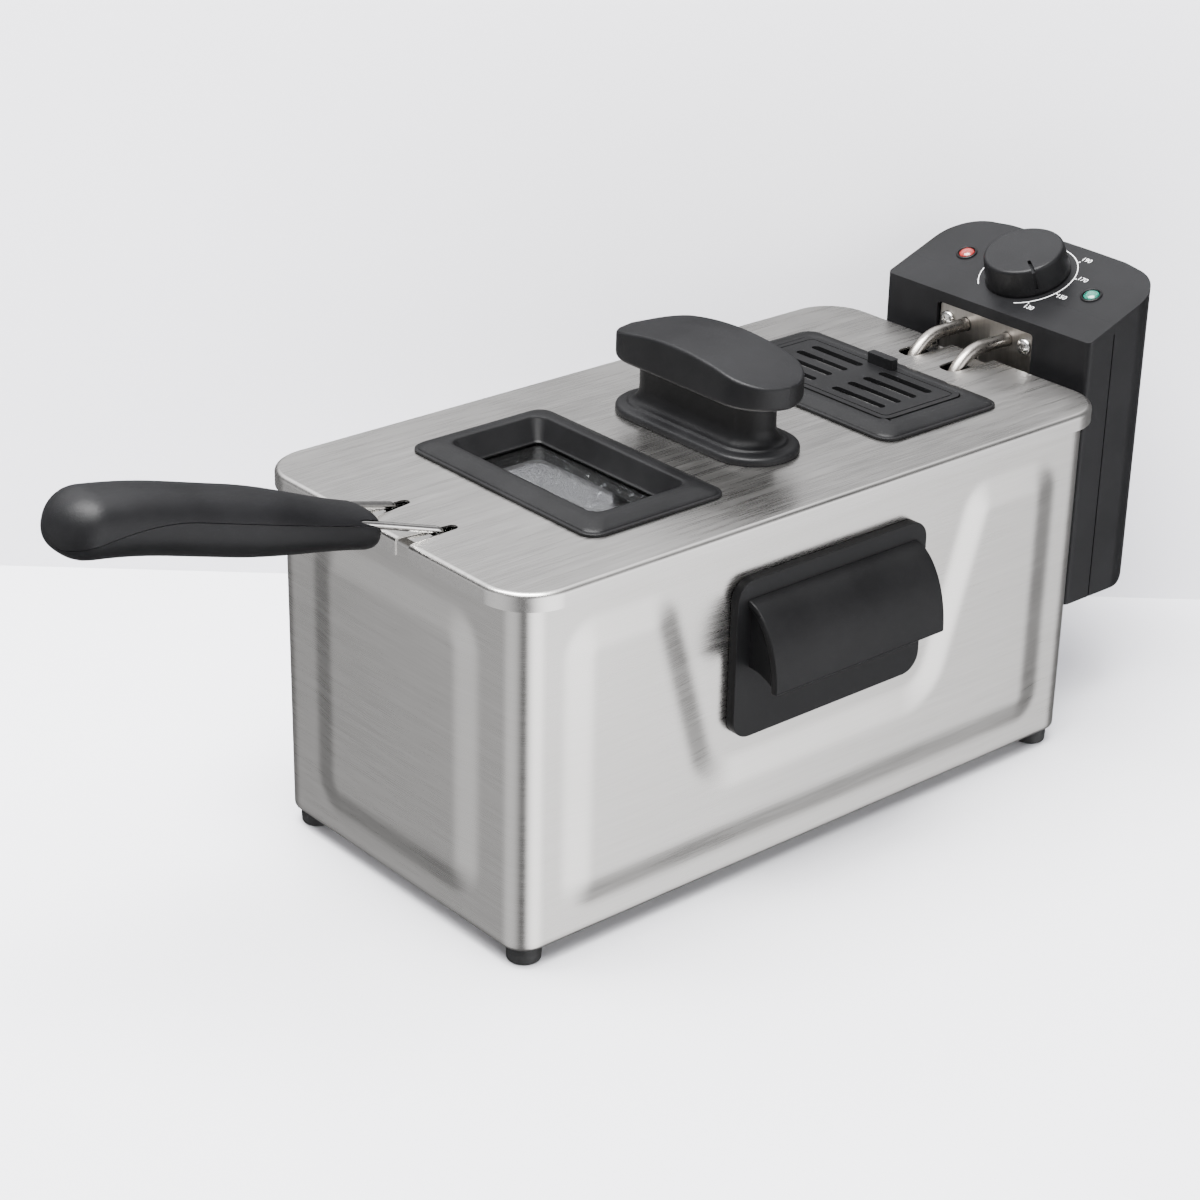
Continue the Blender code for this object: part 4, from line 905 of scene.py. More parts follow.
def makeBasket():
    look = basketLook
    low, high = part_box("basket_mesh")
    centreX = (low.x + high.x) / 2
    halfX = (high.x - low.x) / 2 - look["meshWire"]
    halfY = high.y - look["meshWire"]
    floor = low.z + look["meshWire"]
    top = high.z - look["rimWire"] / 2
    bend = look["corner"] / 2
    routes = []
    inner = halfX - look["corner"]
    count = int(2 * inner / look["pitch"])
    for i in range(count + 1):
        x = centreX - inner + 2 * inner * i / count
        wall = basketWall(halfY, bend, floor, top)
        routes.append([(x, u, v) for u, v in wall])
    inner = halfY - look["corner"]
    count = int(2 * inner / look["pitch"])
    for i in range(count + 1):
        y = -inner + 2 * inner * i / count
        wall = basketWall(halfX, bend, floor + look["meshWire"] * look["crossing"], top)
        routes.append([(centreX + u, y, v) for u, v in wall])
    for cornerX in (-1, 1):
        for cornerY in (-1, 1):
            for angle in (22, 45, 68):
                away = (math.cos(math.radians(angle)), math.sin(math.radians(angle)))
                spotX = centreX + cornerX * (halfX - look["corner"] + look["corner"] * away[0])
                spotY = cornerY * (halfY - look["corner"] + look["corner"] * away[1])
                inward = Vector((-cornerX * away[0], -cornerY * away[1], 0))
                start = Vector((spotX, spotY, top))
                foot = Vector((spotX, spotY, floor + look["meshWire"]))
                end = foot + inward * (bend + look["underRun"])
                route = filletRoute([start, foot, end], bend, 5)
                routes.append([tuple(p) for p in route])
    uprights = wire("basket_uprights", routes, look["meshWire"], resolution=1)
    finish(settle(uprights, 60, even=False), "basket", "wireSteel", ["basket_mesh"])
    hoops = []
    rows = int((top - floor - bend) / look["pitch"])
    for i in range(rows + 1):
        z = floor + bend + (top - floor - bend) * i / rows
        size = larger((2 * halfX, 2 * halfY), look["meshWire"] * look["hoopOut"])
        hoops.append(ring(size, look["corner"], z, (centreX, 0), 5))
    hoop = wire("basket_hoops", hoops, look["meshWire"], closed=True, resolution=1)
    finish(settle(hoop, 60, even=False), "basket", "wireSteel")
    rimOut = gap + look["rimWire"] / 2
    size = (high.x - low.x + 2 * rimOut, 2 * (high.y + rimOut))
    rim = wire("basket_rim_wire", [ring(size, look["corner"] + rimOut,
                                        high.z - look["rimWire"] / 2, (centreX, 0), 10)],
               look["rimWire"], closed=True)
    finish(settle(rim), "basket", "wireSteel", ["basket_rim"])
    out = high.y + gap + look["ribWire"] / 2
    under = low.z - gap - look["ribWire"] / 2
    for word in ("front", "rear"):
        ribLow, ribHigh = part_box("basket_rib_" + word)
        x = (ribLow.x + ribHigh.x) / 2
        corners = [(x, -out, ribHigh.z), (x, -out, under), (x, out, under), (x, out, ribHigh.z)]
        route = filletRoute(corners, bend + look["ribWire"] / 2 + gap, 8)
        rib = wire("basket_rib_wire_" + word, [route], look["ribWire"])
        finish(settle(rib), "basket", "wireSteel", ["basket_rib_" + word])
    repaint("handle_bracket", "brightSteel")


makeBasket()
print("pan and basket ready")


gripLook = {
    "slope": 16.8, "start": 0.0155, "length": 0.1585, "width": 0.038, "thick": 0.029,
    "rootWidth": 0.035, "rootThick": 0.0184, "sink": 0.0045, "wireInGrip": 0.070,
    "entryBend": 0.010, "cross": 0.0125, "crossHeight": 0.1898,
    "spreadLow": 0.0350, "spreadHigh": 0.0280, "seam": 0.0006, "droop": 0.0055, "fall": 0.0145,
}
gripAngle = math.radians(gripLook["slope"])
gripRootX = bodyFront - gripLook["start"]
gripRootZ = gripLook["crossHeight"] + (gripLook["cross"] + gripLook["start"]) * math.tan(gripAngle)


def gripAxis(along, below=0.0):
    x = gripRootX - gripLook["length"] * along * math.cos(gripAngle)
    z = gripRootZ + gripLook["length"] * along * math.sin(gripAngle)
    return x - below * math.sin(gripAngle), z - below * math.cos(gripAngle)


def gripSection(along, steps=40):
    look = gripLook
    grow = min(1.0, along / 0.45)
    grow = grow * grow * (3 - 2 * grow)
    tip = math.sqrt(max(0.0, 1 - (max(0.0, along - 0.90) / 0.1005) ** 2))
    root = 1 - 0.16 * max(0.0, 1 - along / 0.03) ** 2
    half = (look["rootWidth"] + (look["width"] - look["rootWidth"]) * grow) / 2 * tip * root
    thick = (look["rootThick"] + (look["thick"] - look["rootThick"]) * grow) / 2 * tip * root
    droop = look["droop"] * max(0.0, (along - 0.66) / 0.34) ** 2
    points = []
    for i in range(steps):
        angle = 2 * math.pi * (i + 0.5) / steps
        wide = math.copysign(abs(math.cos(angle)) ** 0.8, math.cos(angle))
        high = math.copysign(abs(math.sin(angle)) ** 0.9, math.sin(angle))
        x, z = gripAxis(along, look["sink"] + droop - thick * high)
        points.append((x, half * wide, z))
    return points


def partingLine(drop, far):
    points = []
    for i in range(41):
        along = -0.05 + 1.15 * i / 40
        fall = gripLook["fall"] * (max(0.0, along - 0.62) / 0.33) ** 2
        points.append(gripAxis(along, fall + drop))
    return points + [(points[-1][0], far), (points[0][0], far)]


def wireCorners(side, further=0.0):
    look = gripLook
    reach = look["wireInGrip"] + further
    end = (gripRootX - reach * math.cos(gripAngle), side * look["spreadHigh"] * 0.32,
           gripRootZ + reach * math.sin(gripAngle))
    return [(bodyFront + look["cross"], side * look["spreadLow"] / 2, look["crossHeight"]),
            (gripRootX, side * look["spreadHigh"] / 2, gripRootZ), end]


def makeGrip():
    stations = [0.0, 0.006, 0.015, 0.03] + [0.05 + 0.85 * i / 24 for i in range(25)]
    stations += [0.90 + 0.1 * math.sin(math.radians(a)) for a in range(10, 89, 6)]
    for word, drop, far in (("upper", 0.0, 0.0), ("lower", -gap, 0.5)):
        half = loft("handle_grip_" + word, [gripSection(along) for along in stations])
        cut(half, slab("parting", [partingLine(-drop, far)], -0.05, 0.05, "Y"))
        for side in (-1, 1):
            route = filletRoute(wireCorners(side, 0.002), gripLook["entryBend"], 6)
            cut(half, wire("channel", [route], basketLook["handleWire"] + 2 * gap + 0.0004))
        settle(half, 40, even=False)
        softEdges(half, gripLook["seam"], 2, 50)
        settle(half, 60)
        finish(half, "basket_handle", "gripBlack", ["grip_" + word])
    pivot = joints["handle_fold"]["pos_m"]
    for side, word in ((-1, "near"), (1, "far")):
        node = "handle_wire_" + word
        low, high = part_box(node)
        outer = max(abs(low.y), abs(high.y))
        corners = [(pivot[0], side * outer, pivot[2]),
                   (pivot[0], side * gripLook["spreadLow"] / 2, pivot[2])] + wireCorners(side)
        route = filletRoute(corners, [0.0025, 0.0040, gripLook["entryBend"]], 10)
        rod = wire("handle_rod_" + word, [route], basketLook["handleWire"], resolution=5)
        finish(settle(rod), "basket_handle", "wireSteel", [node])


makeGrip()
print("basket handle ready")


lidLook = {
    "edge": 0.0025, "corner": 0.025, "sheet": 0.001,
    "slotOuter": 0.0212, "slotInner": 0.0113, "tipOuter": 0.0203, "tipInner": 0.0150,
    "slotDepth": 0.0225, "notchClear": 0.0024, "notchFront": 0.0009, "legInset": 0.021,
    "legY": 0.0145, "tube": 0.0072, "skirt": 0.0022,
}
windowLow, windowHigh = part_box("window_frame")
glassLow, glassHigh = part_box("window_glass")
filterLow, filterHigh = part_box("filter_frame")
coverLow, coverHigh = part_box("filter_cover")
knobLow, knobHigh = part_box("lid_knob")
windowX = (windowLow.x + windowHigh.x) / 2
filterX = (filterLow.x + filterHigh.x) / 2
knobX = (knobLow.x + knobHigh.x) / 2
glassSize = (glassHigh.x - glassLow.x, 2 * glassHigh.y)
coverSize = (coverHigh.x - coverLow.x, 0.107)


def slotOutline(side):
    look = lidLook
    tip = bodyFront + look["slotDepth"]
    edge = bodyFront - lidOverhang
    out = edge - 0.005
    widen = (look["tipInner"] - look["slotInner"]) / (tip - edge)
    inner = look["slotInner"] - widen * 0.005
    middle = side * (look["tipInner"] + look["tipOuter"]) / 2
    radius = (look["tipOuter"] - look["tipInner"]) / 2
    arc = arcPoints(tip - radius, middle, radius, radius, -90, 90, 12)
    if side < 0:
        return [(out, -look["slotOuter"] - 0.0002)] + arc + [(out, -inner)]
    return [(out, inner)] + arc + [(out, look["slotOuter"] + 0.0002)]


def notchOutline(side):
    look = lidLook
    width = look["tube"] + 2 * look["notchClear"]
    tip = bodyRear - look["legInset"] - look["tube"] / 2 - look["notchFront"]
    out = bodyRear + lidOverhang + 0.005
    radius = width * 0.42
    low = side * look["legY"] - width / 2
    high = side * look["legY"] + width / 2
    points = [(out, low), (out, high)]
    points += arcPoints(tip + radius, high - radius, radius, radius, 90, 180, 8)
    points += arcPoints(tip + radius, low + radius, radius, radius, 180, 270, 8)
    return points


def makeLid():
    look = lidLook
    size = (lidHigh.x - lidLow.x, 2 * lidHigh.y)
    centre = (middleX, 0)
    rings = [ring(size, look["corner"], lidLow.z, centre, 14)]
    for i in range(7):
        angle = math.radians(90 * i / 6)
        inset = look["edge"] * (1 - math.cos(angle))
        height = lidTop - look["edge"] * (1 - math.sin(angle))
        rings.append(ring(larger(size, -inset), look["corner"] - inset, height, centre, 14))
    lid = loft("lid_plate", rings, False, True)
    solidify(lid, look["sheet"])
    high = lidTop + 0.01
    low = lidTop - 0.03
    for side in (-1, 1):
        cut(lid, slab("slot", [slotOutline(side)], low, high))
        cut(lid, slab("notch", [notchOutline(side)], low, high))
    for x, hole in ((windowX, glassSize), (filterX, coverSize)):
        outline = roundedRectangle(*larger(hole, look["skirt"] + gap), 0.008 + gap, x, 0)
        cut(lid, slab("opening", [outline], low, high))
    settle(lid, 35)
    finish(lid, "lid", "lidSteel", ["lid_sheet"])


windowLook = {"opening": (0.055, 0.107), "rise": 0.0052, "glassDepth": 0.0060, "lip": 0.0012}
filterLook = {
    "rise": 0.0050, "coverFit": 0.0005, "coverThick": 0.0022, "coverDrop": 0.0006,
    "ventLength": 0.035, "ventWidth": 0.0046, "ventStep": 0.0109, "ventRow": 0.013,
    "tabWidth": 0.0175, "tabRise": 0.0055, "tabThick": 0.005, "line": 0.0007, "pin": 0.0018,
}


def borderRings(x, size, opening, rise):
    # a thin lip on the lid, a sloping border with rounded edges and a crest
    base = lidTop + gap
    top = lidTop + rise
    lip = windowLook["lip"]
    sections = [(size, 0.009, base), (larger(size, -0.0001), 0.009, base + lip * 0.8),
                (larger(size, -0.0004), 0.0088, base + lip),
                (larger(size, -0.0013), 0.0080, base + lip + 0.0002),
                (larger(size, -0.0017), 0.0076, base + lip + 0.0008),
                (larger(size, -0.0030), 0.0070, base + lip + 0.0014)]
    slopeLow = larger(size, -0.0034)
    crest = larger(opening, 0.0040)
    foot = base + lip + 0.0016
    for t in (0.10, 0.35, 0.60, 0.80, 0.92, 1.0):
        u = slopeLow[0] + (crest[0] - slopeLow[0]) * t
        v = slopeLow[1] + (crest[1] - slopeLow[1]) * t
        climb = math.sin(t * math.pi / 2) ** 1.1
        height = foot + (top - 0.0002 - foot) * climb
        sections.append(((u, v), 0.0070, height))
    sections += [(larger(opening, 0.0022), 0.0067, top),
                 (larger(opening, 0.0008), 0.0063, top - 0.0001),
                 (larger(opening, 0.0002), 0.0061, top - 0.0005), (opening, 0.006, top - 0.0011)]
    return [ring(around, radius, z, (x, 0), 10) for around, radius, z in sections]


def makeWindow():
    look = windowLook
    floor = lidTop - look["glassDepth"]
    low = windowLow.z
    skirt = larger(glassSize, lidLook["skirt"])
    seat = larger(glassSize, gap)
    ledge = larger(glassSize, -0.003)
    size = (windowHigh.x - windowLow.x, 2 * windowHigh.y)
    rings = [ring(skirt, 0.008, lidTop + gap, (windowX, 0), 10)]
    rings += borderRings(windowX, size, look["opening"], look["rise"])
    inner = [(larger(ledge, 0.0012), 0.0042, floor + 0.0016),
             (larger(ledge, 0.0004), 0.0034, floor + 0.0010),
             (ledge, 0.003, floor + 0.0007), (ledge, 0.003, floor), (seat, 0.004, floor),
             (seat, 0.004, low), (skirt, 0.008, low)]
    rings += [ring(around, radius, z, (windowX, 0), 10) for around, radius, z in inner]
    border = loft("window_border", rings, closed=True)
    finish(settle(border, 40), "lid", "blackPlastic", ["window_frame"])
    outline = roundedRectangle(glassSize[0], glassSize[1], 0.004, windowX, 0)
    pane = slab("window_pane", [outline], glassLow.z, glassHigh.z)
    softEdges(pane, 0.0004, 2)
    finish(settle(pane), "lid", "glass", ["window_glass"])


dropLook = {"count": 130, "seed": 11, "smallest": 0.0003, "largest": 0.0011}


def makeDroplets():
    # steam drops under the pane, thick towards its rear and near ends
    look = dropLook
    dice = random.Random(look["seed"])
    bm = bmesh.new()
    for _ in range(look["count"]):
        along = 1 - dice.random() ** 2.2
        across = -1 + 2 * dice.random() ** 1.6
        x = windowX + (along - 0.5) * (glassSize[0] - 0.008)
        y = across * (glassSize[1] / 2 - 0.005)
        radius = look["smallest"] + (look["largest"] - look["smallest"]) * dice.random() ** 3
        made = bmesh.ops.create_icosphere(bm, subdivisions=2, radius=radius)
        squeeze = 0.75 + 0.5 * dice.random()
        for vert in made["verts"]:
            vert.co.x *= squeeze
            vert.co.z = min(vert.co.z * 0.6, 0.0)
            vert.co += Vector((x, y, glassLow.z - 0.00005))
    drops = meshObject("window_drops", bm)
    drops.data.shade_smooth()
    finish(drops, "lid", "water")


def makeFilter():
    look = filterLook
    top = lidTop + look["rise"]
    ledgeZ = top - look["coverThick"] - look["coverDrop"]
    low = filterLow.z
    well = larger(coverSize, look["coverFit"])
    skirt = larger(coverSize, lidLook["skirt"])
    tray = larger(coverSize, -0.002)
    rest = larger(coverSize, -0.005)
    size = (filterHigh.x - filterLow.x, 2 * filterHigh.y)
    rings = [ring(skirt, 0.008, lidTop + gap, (filterX, 0), 10)]
    rings += borderRings(filterX, size, well, look["rise"])
    inner = [(well, 0.006, ledgeZ), (tray, 0.005, ledgeZ), (tray, 0.005, low + 0.0012),
             (rest, 0.004, low + 0.0012), (rest, 0.004, low), (skirt, 0.008, low)]
    rings += [ring(around, radius, z, (filterX, 0), 10) for around, radius, z in inner]
    border = loft("filter_border", rings, closed=True)
    hinge = joints["cover_swing"]["pos_m"]
    reach = coverSize[1] / 2 + 0.0022
    pinHole = turned("hole", pinProfile(look["pin"] + 4 * gap, -reach, reach), 24)
    cut(border, place(pinHole, hinge, math.pi / 2, "X"))
    finish(settle(border, 40), "lid", "blackPlastic", ["filter_frame"])
    matLow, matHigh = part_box("filter_mat")
    outline = roundedRectangle(tray[0] - 0.001, tray[1] - 0.001, 0.004, filterX, 0)
    mat = slab("filter_felt", [outline], matLow.z, matHigh.z)
    softEdges(mat, 0.0012, 3)
    finish(settle(mat), "lid", "felt", ["filter_mat"])


def makeCover():
    look = filterLook
    top = lidTop + look["rise"]
    low = top - look["coverThick"]
    outlines = [roundedRectangle(coverSize[0], coverSize[1], 0.0055, filterX, 0)]
    for side in (-1, 1):
        for i in range(4):
            x = filterX + (i - 1.5) * look["ventStep"]
            y = side * (look["ventRow"] + look["ventLength"]) / 2
            outlines.append(roundedRectangle(look["ventWidth"], look["ventLength"],
                                             look["ventWidth"] * 0.46, x, y, 6))
    cover = slab("vent_cover", outlines, low, top)
    softEdges(cover, 0.0005, 3)
    groove = [roundedRectangle(*larger(coverSize, -0.0030), 0.0035, filterX, 0),
              roundedRectangle(*larger(coverSize, -0.0030 - look["line"]), 0.0030, filterX, 0)]
    cut(cover, slab("line", groove, top - 0.0004, top + 0.001))
    tabX = filterX + coverSize[0] / 2 - look["tabThick"] / 2 - 0.0003
    tab = slab("tab", [roundedRectangle(look["tabThick"], look["tabWidth"], 0.0012, tabX, 0)],
               low + look["coverThick"] / 2, top + look["tabRise"])
    softEdges(tab, 0.0009, 4)
    join(cover, tab)
    hinge = Vector(joints["cover_swing"]["pos_m"])
    reach = coverHigh.y
    for side in (-1, 1):
        ends = sorted((side * (coverSize[1] / 2 - 0.006), side * reach))
        pin = turned("pin", pinProfile(look["pin"], ends[0], ends[1], 0.0002), 24)
        join(cover, place(pin, hinge, -math.pi / 2, "X"))
    settle(cover, 30)
    finish(cover, "filter_cover", "blackPlastic", ["filter_cover"])


makeLid()
makeWindow()
makeDroplets()
makeFilter()
makeCover()
print("lid, window and filter ready")


lidKnobLook = {
    "base": (0.046, 0.110), "stem": (0.024, 0.086), "grip": (0.044, 0.112),
    "gripLow": 0.0275, "gripEnd": 0.0380, "gripTop": 0.0470, "edge": 0.0017, "underEdge": 0.0022,
}


def stadium(size, height, x=0.0, steps=14):
    return ring(size, size[0] / 2 - 0.0001, height, (x, 0), steps)


def makeLidKnob():
    look = lidKnobLook
    base = lidTop + gap
    stem = look["stem"]
    tier = larger(stem, 0.0062)
    sections = [(look["base"], base), (look["base"], base + 0.0020),
                (larger(look["base"], -0.0004), base + 0.0030),
                (larger(look["base"], -0.0014), base + 0.0037),
                (larger(look["base"], -0.0030), base + 0.0040),
                (larger(tier, 0.0004), base + 0.0044), (larger(tier, -0.0002), base + 0.0047),
                (larger(tier, -0.0006), base + 0.0052)]
    for i in range(9):
        angle = math.radians(90 * i / 8)
        sections.append((larger(stem, 0.0052 * (1 - math.sin(angle))),
                         base + 0.0056 + 0.0074 * (1 - math.cos(angle))))
    under = lidTop + look["gripLow"]
    sections += [(stem, under - 0.0030), (larger(stem, 0.0006), under - 0.0010),
                 (larger(stem, 0.0018), under + 0.0004), (larger(stem, 0.0018), under + 0.002)]
    knob = loft("lift_knob", [stadium(size, height, knobX) for size, height in sections])
    half = look["grip"][1] / 2
    stations = []
    crown = look["gripTop"] - look["gripEnd"]
    rows = 60
    for i in range(rows + 1):
        turn = math.pi * i / rows
        stations.append(-half * math.cos(turn))
    radius = look["grip"][0] / 2
    reach = half - radius
    bm = bmesh.new()
    rings = []
    for y in stations:
        over = max(0.0, abs(y) - reach)
        width = math.sqrt(max(1e-8, radius * radius - over * over))
        rise = look["gripEnd"] + crown * (1 - (y / half) ** 2)
        top = lidTop + rise
        edge = min(look["edge"], width * 0.9)
        points = []
        lower = min(look["underEdge"], width * 0.9)
        points += [(-width + lower * (1 - math.sin(a)), under + lower * (1 - math.cos(a)))
                   for a in [math.radians(v) for v in (0, 22, 45, 68, 90)]]
        points += [(-width + edge * (1 - math.cos(a)), top - edge * (1 - math.sin(a)))
                   for a in [math.radians(v) for v in (0, 22, 45, 68, 90)]]
        flat = [(width - edge) * s for s in (-0.6, -0.2, 0.2, 0.6)]
        points += [(u, top + 0.0003 * (1 - (u / (width + 0.0001)) ** 2)) for u in flat]
        points += [(-u, v) for u, v in reversed(points[:10])]
        rings.append([bm.verts.new((knobX + u, y, v)) for u, v in points])
    for a, b in zip(rings, rings[1:]):
        for i in range(len(a)):
            k = (i + 1) % len(a)
            bm.faces.new((a[i], a[k], b[k], b[i]))
    bm.faces.new(rings[0])
    bm.faces.new(list(reversed(rings[-1])))
    bmesh.ops.remove_doubles(bm, verts=bm.verts, dist=0.00002)
    bmesh.ops.recalc_face_normals(bm, faces=bm.faces)
    bar = meshObject("knob_bar", bm)
    join(knob, bar)
    settle(knob, 42)
    finish(knob, "lid", "gripBlack", ["lid_knob"])
    for word in ("near", "far"):
        repaint("knob_screw_" + word, "brightSteel")


makeLidKnob()
print("lid knob ready")


controlLook = {
    "wall": 0.0025, "frontWall": 0.0055, "seam": 0.0185, "corner": 0.024, "heel": 0.024,
    "frontTop": 0.2095, "bow": 0.0022, "edge": 0.0011, "seamGroove": 0.0005, "seamFit": 0.00003,
    "plate": (0.065, 0.037), "plateTop": 0.203, "plateThick": 0.0013, "pocket": 0.0036,
    "screwSpacing": 0.054, "screwHeight": 0.195, "screwHead": 0.0088,
    "tube": 0.0072, "legY": 0.0145, "lampLens": 0.0085, "shaft": 0.006, "button": 0.008,
    "capillary": 0.0016,
}
elementLow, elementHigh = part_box("heating_element")
legTop = elementHigh.z - controlLook["tube"] / 2
legX = bodyRear - lidLook["legInset"]
buttonLow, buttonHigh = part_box("reset_button")
buttonHeight = (buttonLow.z + buttonHigh.z) / 2
inletLow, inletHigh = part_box("inlet_bush")
inletX = (inletLow.x + inletHigh.x) / 2
inletY = (inletLow.y + inletHigh.y) / 2
plateLow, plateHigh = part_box("element_plate")
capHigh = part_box("sensor_capillary")[1]
capY = capHigh.y - controlLook["capillary"] / 2
capZ = capHigh.z - controlLook["capillary"] / 2


def controlPlan(inset, front):
    look = controlLook
    half = controlWidth / 2 - inset
    rear = controlRear - inset
    radius = look["corner"] - inset
    small = max(0.003 - inset, 0.0006)
    points = arcPoints(front + small, -half + small, small, small, 180, 270, 5)
    points += arcPoints(rear - look["bow"] - radius, -half + radius, radius, radius, 270, 354, 22)
    for i in range(1, 14):
        y = (half - radius) * (i / 7 - 1)
        points.append((rear - look["bow"] * 0.42 * (y / (half - radius)) ** 2, y))
    points += arcPoints(rear - look["bow"] - radius, half - radius, radius, radius, 6, 90, 22)
    points += arcPoints(front + small, half - small, small, small, 90, 180, 5)
    return points


def controlSide(inset, front):
    look = controlLook
    rear = controlRear + 0.01
    low = controlLow + inset
    radius = look["heel"] - inset
    rise = math.tan(panelTilt)
    top = look["frontTop"] - inset / math.cos(panelTilt)
    points = [(front, top + (front - controlFront) * rise), (front, low)]
    points += arcPoints(controlRear - look["heel"], low + radius, radius, radius, 270, 360, 18)
    points.append((controlRear - inset, low + radius + 0.001))
    points.append((rear, low + radius + 0.002))
    points.append((rear, top + (rear - controlFront) * rise))
    return points


def controlSolid(name, inset, front):
    plan = slab(name, [controlPlan(inset, front)], 0.0, controlLook["frontTop"] + 0.05)
    profile = slab(name + "_side", [controlSide(inset, front)], -0.1, 0.1, "Y")
    combine(plan, profile, "INTERSECT")
    return plan


def block(name, low, high):
    bm = bmesh.new()
    bmesh.ops.create_cube(bm, size=1)
    for vert in bm.verts:
        vert.co = Vector([(l + h) / 2 + c * (h - l) for l, h, c in zip(low, high, vert.co)])
    return meshObject(name, bm)


def panelTool(name, diameter, across, low=-0.01, high=0.01):
    tool = turned(name, pinProfile(diameter, low, high), 40)
    return place(tool, panelPoint(0, across), -panelTilt)


def wallTool(name, diameter, across, height, low, high):
    tool = turned(name, pinProfile(diameter, low, high), 32)
    return place(tool, (controlFront, across, height), math.pi / 2)


def circlePoints(u, v, radius, steps=32):
    return arcPoints(u, v, radius, radius, 0, 360 - 360 / steps, steps - 1)


def makeControlShells():
    look = controlLook
    seam = controlFront + look["seam"]
    lampY = abs(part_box("lamp_red")[0].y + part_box("lamp_red")[1].y) / 2
    shells = []
    for word in ("front", "rear"):
        shell = controlSolid("control_shell_" + word, 0, controlFront)
        softEdges(shell, look["edge"], 3, 38)
        settle(shell, 40, even=False)
        cavity = controlSolid("cavity_" + word, look["wall"], controlFront + look["frontWall"])
        cut(shell, cavity)
        shells.append(shell)
    front, rear = shells
    cut(front, block("behind", (seam, -0.1, 0), (seam + 0.1, 0.1, 0.3)))
    cut(rear, block("ahead", (seam - 0.1, -0.1, 0), (seam + look["seamFit"], 0.1, 0.3)))
    for shell in shells:
        groove = block("groove", (seam - 0.0003, -0.1, 0.0),
                       (seam + 0.0006, 0.1, look["frontTop"] + 0.001))
        cut(groove, controlSolid("groove_inner", look["seamGroove"], controlFront))
        cut(shell, groove)
    pocket = roundedRectangle(look["plate"][0] + 2 * gap + 0.0012, look["plate"][1] + 0.0012,
                              0.002, 0, look["plateTop"] - look["plate"][1] / 2, 5)
    cut(front, slab("pocket", [pocket], controlFront - 0.01, controlFront + look["pocket"], "X"))
    for side in (-1, 1):
        cut(front, wallTool("tube_hole", look["tube"] + 2 * gap, side * look["legY"], legTop,
                            0, look["frontWall"] + 0.002))
        cut(rear, panelTool("lamp_hole", look["lampLens"] + 2 * gap, side * lampY))
    cut(front, wallTool("capillary_hole", look["capillary"] + 2 * gap, capY, capZ,
                        0, look["frontWall"] + 0.002))
    cut(rear, panelTool("shaft_hole", look["shaft"] + 2 * gap, 0))
    buttonHole = turned("button_hole", pinProfile(look["button"] + 2 * gap, -0.01, 0.01), 32)
    cut(rear, place(buttonHole, (controlRear, 0, buttonHeight), math.pi / 2))
    inletHole = turned("inlet_hole", pinProfile(0.0126, -0.01, 0.01), 32)
    cut(rear, place(inletHole, (inletX, inletY, controlLow), 0))
    for shell, node in ((front, "control_front"), (rear, "control_rear")):
        settle(shell, 32)
        finish(shell, "control_unit", "smoothBlack", [node])
    repaint("control_hanger", "blackPlastic")


def screwProfile(head, shank, depth):
    # a pan head with a rounded shoulder, then the shank
    return [(0, 0.0022), (head * 0.35, 0.00215), (head * 0.62, 0.0019), (head * 0.85, 0.0014),
            (head * 0.97, 0.0008), (head, 0.0003), (head, 0), (shank, 0), (shank, -depth),
            (0, -depth)]


def crossRecess(screw, spot, turn, length, width, low, high):
    for quarter in (0, 90):
        tool = slab("recess", [roundedRectangle(length, width, width * 0.3, 0, 0, 3)], low, high)
        tool.matrix_world = (Matrix.Translation(spot) @ turn
                             @ Matrix.Rotation(math.radians(quarter + 20), 4, "Z")
                             @ tool.matrix_world)
        cut(screw, tool)


def makeElementPlate():
    look = controlLook
    middle = look["plateTop"] - look["plate"][1] / 2
    outlines = [roundedRectangle(look["plate"][0], look["plate"][1], 0.0015, 0, middle, 5)]
    for side in (-1, 1):
        outlines.append(circlePoints(side * look["legY"], legTop, look["tube"] / 2 + gap))
        outlines.append(circlePoints(side * look["screwSpacing"] / 2, look["screwHeight"], 0.0020))
    outlines.append(circlePoints(capY, capZ, 0.0011, 20))
    plate = slab("mount_plate", outlines, plateLow.x, plateHigh.x, "X")
    softEdges(plate, 0.0002, 2)
    finish(settle(plate), "control_unit", "plateSteel", ["element_plate"])
    face = plateLow.x - gap
    for side, word in ((-1, "near"), (1, "far")):
        spot = Vector((face, side * look["screwSpacing"] / 2, look["screwHeight"]))
        profile = screwProfile(look["screwHead"] / 2, 0.0017, 0.0045)
        screw = turned("plate_pan_head_" + word, profile)
        place(screw, spot, -math.pi / 2)
        turn = Matrix.Rotation(-math.pi / 2, 4, "Y")
        crossRecess(screw, spot, turn, 0.0046, 0.0009, 0.0010, 0.004)
        finish(settle(screw, 30), "control_unit", "brightSteel", ["plate_screw_" + word])


def makeElement():
    look = controlLook
    legY = look["legY"]
    low = elementLow.z + look["tube"] / 2
    rear = legX - 0.018
    turnBack = legX - 0.052
    frontTurn = bodyFront + panLook["inset"] + 0.045
    inside = controlFront + look["frontWall"] + 0.004
    outer, inner = 0.052, 0.018
    half = [(inside, legY, legTop), (legX, legY, legTop), (legX, legY, low), (rear, legY, low),
            (rear - 0.020, outer, low), (frontTurn, outer, low), (frontTurn, inner, low),
            (turnBack - 0.004, inner, low)]
    corners = half + [(x, -y, z) for x, y, z in reversed(half)]
    side = [0.022, 0.012, 0.006, 0.010, 0.0155, 0.0155, 0.0165]
    route = filletRoute(corners, side + list(reversed(side)), 14)
    tube = wire("element_tube", [route], look["tube"], resolution=8)
    finish(settle(tube), "control_unit", "tubeSteel", ["heating_element"])


